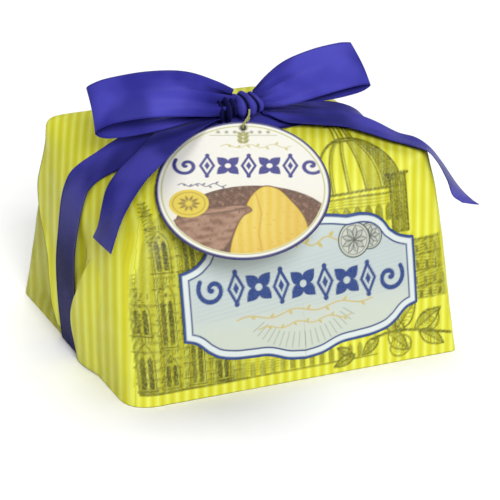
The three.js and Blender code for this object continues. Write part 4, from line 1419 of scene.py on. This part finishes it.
def make_tag(board):
    """A round card with a slightly pillowed edge, printed on its face and bare behind."""
    ring_step = 0.62
    columns = 420
    angles = np.linspace(0, 2 * math.pi, columns, endpoint=False)
    radii = np.arange(ring_step, TAG_RADIUS - 0.3, ring_step)
    hole = np.array([0, TAG_RADIUS - HOLE_INSET])
    face_rings = [(r, TAG_THICK) for r in radii]
    face_rings += [(TAG_RADIUS - 0.25, TAG_THICK - 0.06), (TAG_RADIUS, TAG_THICK - 0.35)]
    back_rings = [(TAG_RADIUS, 0.35), (TAG_RADIUS - 0.25, 0.06)] + [(r, 0.0) for r in radii[::-6]]
    rings = face_rings + back_rings
    flat, off = [], []
    for r, height in rings:
        flat.append(np.column_stack([r * np.cos(angles), r * np.sin(angles)]))
        off.append(np.full(columns, height))
    flat, off = np.vstack(flat), np.concatenate(off)
    beside = np.hypot(*(flat - hole).T)
    faces = capped_faces(len(rings), columns)
    picture = tag_picture(flat)
    picture[off < 0.2] = printed("#f4f1e4")
    # The hole is painted, not cut: a near-black disc of painted shade, in a grey ring.
    painted_hole_shade = filled(HOLE_RADIUS - beside)
    picture += (printed("#b5b08e") - picture) * (filled(HOLE_RADIUS + 0.8 - beside) - painted_hole_shade)[:, None]
    picture += (printed("#2a2a20") - picture) * painted_hole_shade[:, None]
    points = on_tag(flat, off)
    make_piece("hang_tag_card", points, faces, board, "tag_card", "hang_tag", picture=picture)


def make_cord(cord_material):
    """Three-ply cord from the knot, down through the tag's hole and back up behind it."""
    hole = (0, TAG_RADIUS - HOLE_INSET)
    knot_front = KNOT[1] - KNOT_HALF[1]
    route = [
        (KNOT[0] - 3, knot_front - 2, KNOT[2] + 1), (KNOT[0] - 6, knot_front - 8, KNOT[2] - 1),
        on_tag(hole, TAG_THICK / 2 + 3.2), on_tag(hole, TAG_THICK / 2), on_tag(hole, TAG_THICK / 2 - 2.6),
        (KNOT[0] - 8, knot_front - 7, KNOT[2] - 7.5), (KNOT[0] - 3, knot_front - 2, KNOT[2] - 5)]
    line = curve_through(route, 120)
    tangent = unit(np.gradient(line, axis=0))
    sideways = unit(np.cross(tangent, (0.3, 0.1, 1.0)))
    upward = np.cross(tangent, sideways)
    sides = 18
    angles = np.linspace(0, 2 * math.pi, sides, endpoint=False)
    runs = np.concatenate([[0], np.cumsum(np.linalg.norm(np.diff(line, axis=0), axis=1))])
    # Three ridges round the cord that make one turn every 4.2 mm.
    plies = np.cos(3 * angles[None] + runs[:, None] * 2 * math.pi / 4.2)
    radius = CORD_DIAMETER / 2 * (0.93 + 0.1 * plies)
    points = (line[:, None] + radius[..., None] * (np.cos(angles)[None, :, None] * sideways[:, None]
                                                  + np.sin(angles)[None, :, None] * upward[:, None]))
    faces = capped_faces(len(line), sides)
    points = points.reshape(-1, 3)
    # Painted shade: lighter on the plies' ridges, darker in the grooves between them.
    cord = make_piece("tag_cord_plied", points, faces, cord_material, "tag_cord", "tag_cord",
                      groove=(0.5 + 0.5 * plies).ravel())


# ------------------------------------------------------------------ front label

LABEL_CENTRE = (6, 67)
# The right half of the label's edge, in runs that meet at its points.
LABEL_RUNS = (
    ((0, 51), (14, 51), (28, 50), (40, 48)),
    ((40, 48), (52, 48.5), (62, 46), (69, 41), (74, 34)),
    ((74, 34), (80, 29.5), (88, 26.5), (93, 25.5)),
    ((93, 25.5), (93, -24)),
    ((93, -24), (84, -27), (76, -34)),
    ((76, -34), (68, -39), (56, -42), (42, -43)),
    ((42, -43), (29, -44), (14, -49), (0, -51)))


def label_outline():
    half = [point for run in LABEL_RUNS for point in curve_through(run, 4 + 8 * len(run))[:-1]]
    half = np.vstack([half, [LABEL_RUNS[-1][-1]]])
    other = half[-2:0:-1] * (-1, 1)
    return np.vstack([half, other])


def label_picture(flat, outline):
    """Printed face of the label: royal blue edge, white band, thin blue line, pale ground."""
    art = Drawing(flat, "#d3e0df")
    depth = within(flat, outline)
    everywhere = np.arange(len(flat))
    warm = smooth_step(flat[:, 1], -30, 10)
    art.lay(everywhere, 0.5 * (1 - warm), "#e6ebcf")
    art.hatch(box_outline(-84, -12, 84, 26), (1, 0.12), 3.2, "#cbd8da", 0.6)
    # A fan of fine rays at the foot.
    for k in range(-9, 10):
        a = math.radians(-90 + k * 6.4)
        start = np.array([0, -4.0]) + (30 * math.cos(a) * 1.25, 26 * math.sin(a))
        end = np.array([0, -4.0]) + (38 * math.cos(a) * 1.25, 37 * math.sin(a))
        art.stroke([start, end], 0.7, "#9fae9c", 0.8)
    draw_motif_row(art, -60, 62, 5.0, 27, ("#17408c", "#d3e0df"), 7, -0.085)
    draw_fine_line(art, -30, 40, 33, 2.2, 1.0, "#d8c56a")
    draw_fine_line(art, -52, 56, -14, 1.8, 1.0, "#dcc777")
    draw_fine_line(art, -36, 38, -23, 1.5, 0.9, "#dcc777")
    # Two cut round fruits, etched, in the upper right corner.
    for centre, size in (((57, 31), 9.5), ((44, 30), 12.5)):
        art.shape(ellipse(centre, size, size, 30), "#dbe0d4")
        art.outlined(ellipse(centre, size, size, 30), 1.0, "#4b514b")
        art.outlined(ellipse(centre, size * 0.84, size * 0.84, 28), 0.6, "#7b827a")
        for k in range(9):
            a = k * 2 * math.pi / 9
            way = np.array([math.cos(a), math.sin(a)])
            wedge = leaf(centre + 1.4 * way, centre + size * 0.78 * way, 0.24)
            art.outlined(wedge, 0.6, "#5a605a")
            art.hatch(wedge, (math.cos(a), math.sin(a)), 1.7, "#8b918a", 0.7)
        art.shape(ellipse(centre, 1.2, 1.2, 10), "#4b514b")
    art.lay(everywhere, filled(6.4 - depth), "#eef8f6")
    art.lay(everywhere, filled(0.6 - np.abs(depth - 6.6)), "#1d3f86")
    art.lay(everywhere, filled(2.1 - depth, 1.0), "#1c4690")
    return art.layer


def make_label(label_stock):
    """The shaped label, glued to the front face and following it, its edge a clean cut."""
    outline = label_outline()
    runs = np.linalg.norm(np.roll(outline, -1, axis=0) - outline, axis=1)
    route = np.vstack([outline, outline[:1]])
    total = np.concatenate([[0], np.cumsum(runs)])
    rim_stops = 620
    stops = np.linspace(0, total[-1], rim_stops, endpoint=False)
    stops = np.sort(np.unique(np.concatenate([stops, total[:-1]])))
    rim = np.column_stack([np.interp(stops, total, route[:, k]) for k in range(2)])
    shares = np.concatenate([np.linspace(0.012, 0.8, 78), np.linspace(0.81, 1.0, 28)])
    face = [(share, 1.25) for share in shares]
    back = [(1.0, 0.55), (0.7, 0.55), (0.35, 0.55), (0.012, 0.55)]
    flat, off = [], []
    for share, height in face + back:
        flat.append(rim * share)
        off.append(np.full(len(rim), height))
    flat, off = np.vstack(flat), np.concatenate(off)
    starts = np.column_stack([
        LABEL_CENTRE[0] + flat[:, 0], np.zeros(len(flat)), LABEL_CENTRE[1] + flat[:, 1]])
    plain = on_skin(starts, (0, -1, 0))
    points = on_skin(starts, (0, -1, 0), off + paper_relief(plain))
    faces = capped_faces(len(face) + len(back), len(rim))
    make_piece("cartouche_label", points, faces, label_stock, "label_paper", "front_label",
               picture=label_picture(flat, outline))


# ------------------------------------------------------------------ inside the paper

def finish_inner_pieces():
    """The tray, case, bag and tie keep their solids, in their own materials."""
    for node, material in (("card_tray", grey_board()), ("baking_case", case_paper()),
                           ("clear_bag", clear_film()), ("bag_tie", tie_wire())):
        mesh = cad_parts[node].data
        mesh.materials.clear()
        mesh.materials.append(material)


def make_loaf(crust):
    """The loaf: a domed crust that has burst in a cross cut on top, rough with blisters."""
    low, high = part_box("panettone_loaf")
    radius = (high.x - low.x) / 2 / MM
    foot = low.z / MM
    top = high.z / MM
    shoulder = foot + (top - foot) * 0.66
    rows, columns = 60, 120
    heights = np.linspace(0, 1, rows)
    angles = np.linspace(0, 2 * math.pi, columns, endpoint=False)
    rings = []
    for share in heights:
        if share < 0.5:
            reach, z = 0.985, foot + (shoulder - foot) * share / 0.5
        else:
            turn = (share - 0.5) / 0.5 * math.pi / 2 * 0.98
            reach, z = 0.985 * math.cos(turn) ** 0.7, shoulder + (top - shoulder - 1.5) * math.sin(turn)
        ring = np.column_stack([np.cos(angles) * radius * reach, np.sin(angles) * radius * reach,
                                np.full(columns, z)])
        rings.append(ring)
    points = np.vstack(rings)
    # The cross cut opens a shallow groove along both axes on top.
    cross = np.minimum(np.abs(points[:, 0]), np.abs(points[:, 1]))
    on_top = smooth_step(points[:, 2], shoulder + 10, top - 6)
    points[:, 2] -= on_top * 5 * np.exp(-(cross / 6) ** 2)
    rough = 1 - 0.008 * (1 + ripple(points, 14, 41))
    points[:, :2] *= rough[:, None]
    faces = capped_faces(rows, columns)
    make_piece("loaf_crust", points, faces, crust, "baked_crust", "panettone_loaf")


def make_floor():
    """A plain sheet of backdrop paper, just under the pack's base."""
    half = 2600
    corners = [(x, y, -0.05) for x, y in ((-half, -half), (half, -half), (half, half), (-half, half))]
    mesh = bpy.data.meshes.new("floor")
    mesh.from_pydata(placed(corners).tolist(), [], [(0, 1, 2, 3)])
    mesh.materials.append(studio_floor())
    floor = bpy.data.objects.new("floor", mesh)
    bpy.context.scene.collection.objects.link(floor)


# ------------------------------------------------------------------ the whole scene

make_camera()
make_cord(plied_cord())

satin = satin_ribbon()
make_knot(satin)
make_loop("loop_left", "bow_loop_left", -1, (-0.986, 0.13, 0.03), (-0.165, -0.781, -0.602), 106, 1.0,
          loop_folds(0.3), 0.95, satin)
make_loop("loop_right", "bow_loop_right", 1, (0.9, -0.21, 0.268), (-0.045, -0.8, -0.6), 82, 0.5,
          loop_folds(1.7), 0.6, satin)
make_tails(satin)

paper = gift_paper()
make_wrapping(paper)
make_end_flap("flap_left", "left_end_flap", -1, paper)
make_end_flap("flap_right", "right_end_flap", 1, paper)
make_front_fold(paper)
make_band(satin)

label_stock = printed_board("coated_label_paper", 0.42, 1.2)
make_underside(paper, label_stock)
make_label(label_stock)
make_tag(printed_board("coated_tag_board", 0.45, 1.6))

make_loaf(baked_crust())
finish_inner_pieces()
make_floor()
make_studio()
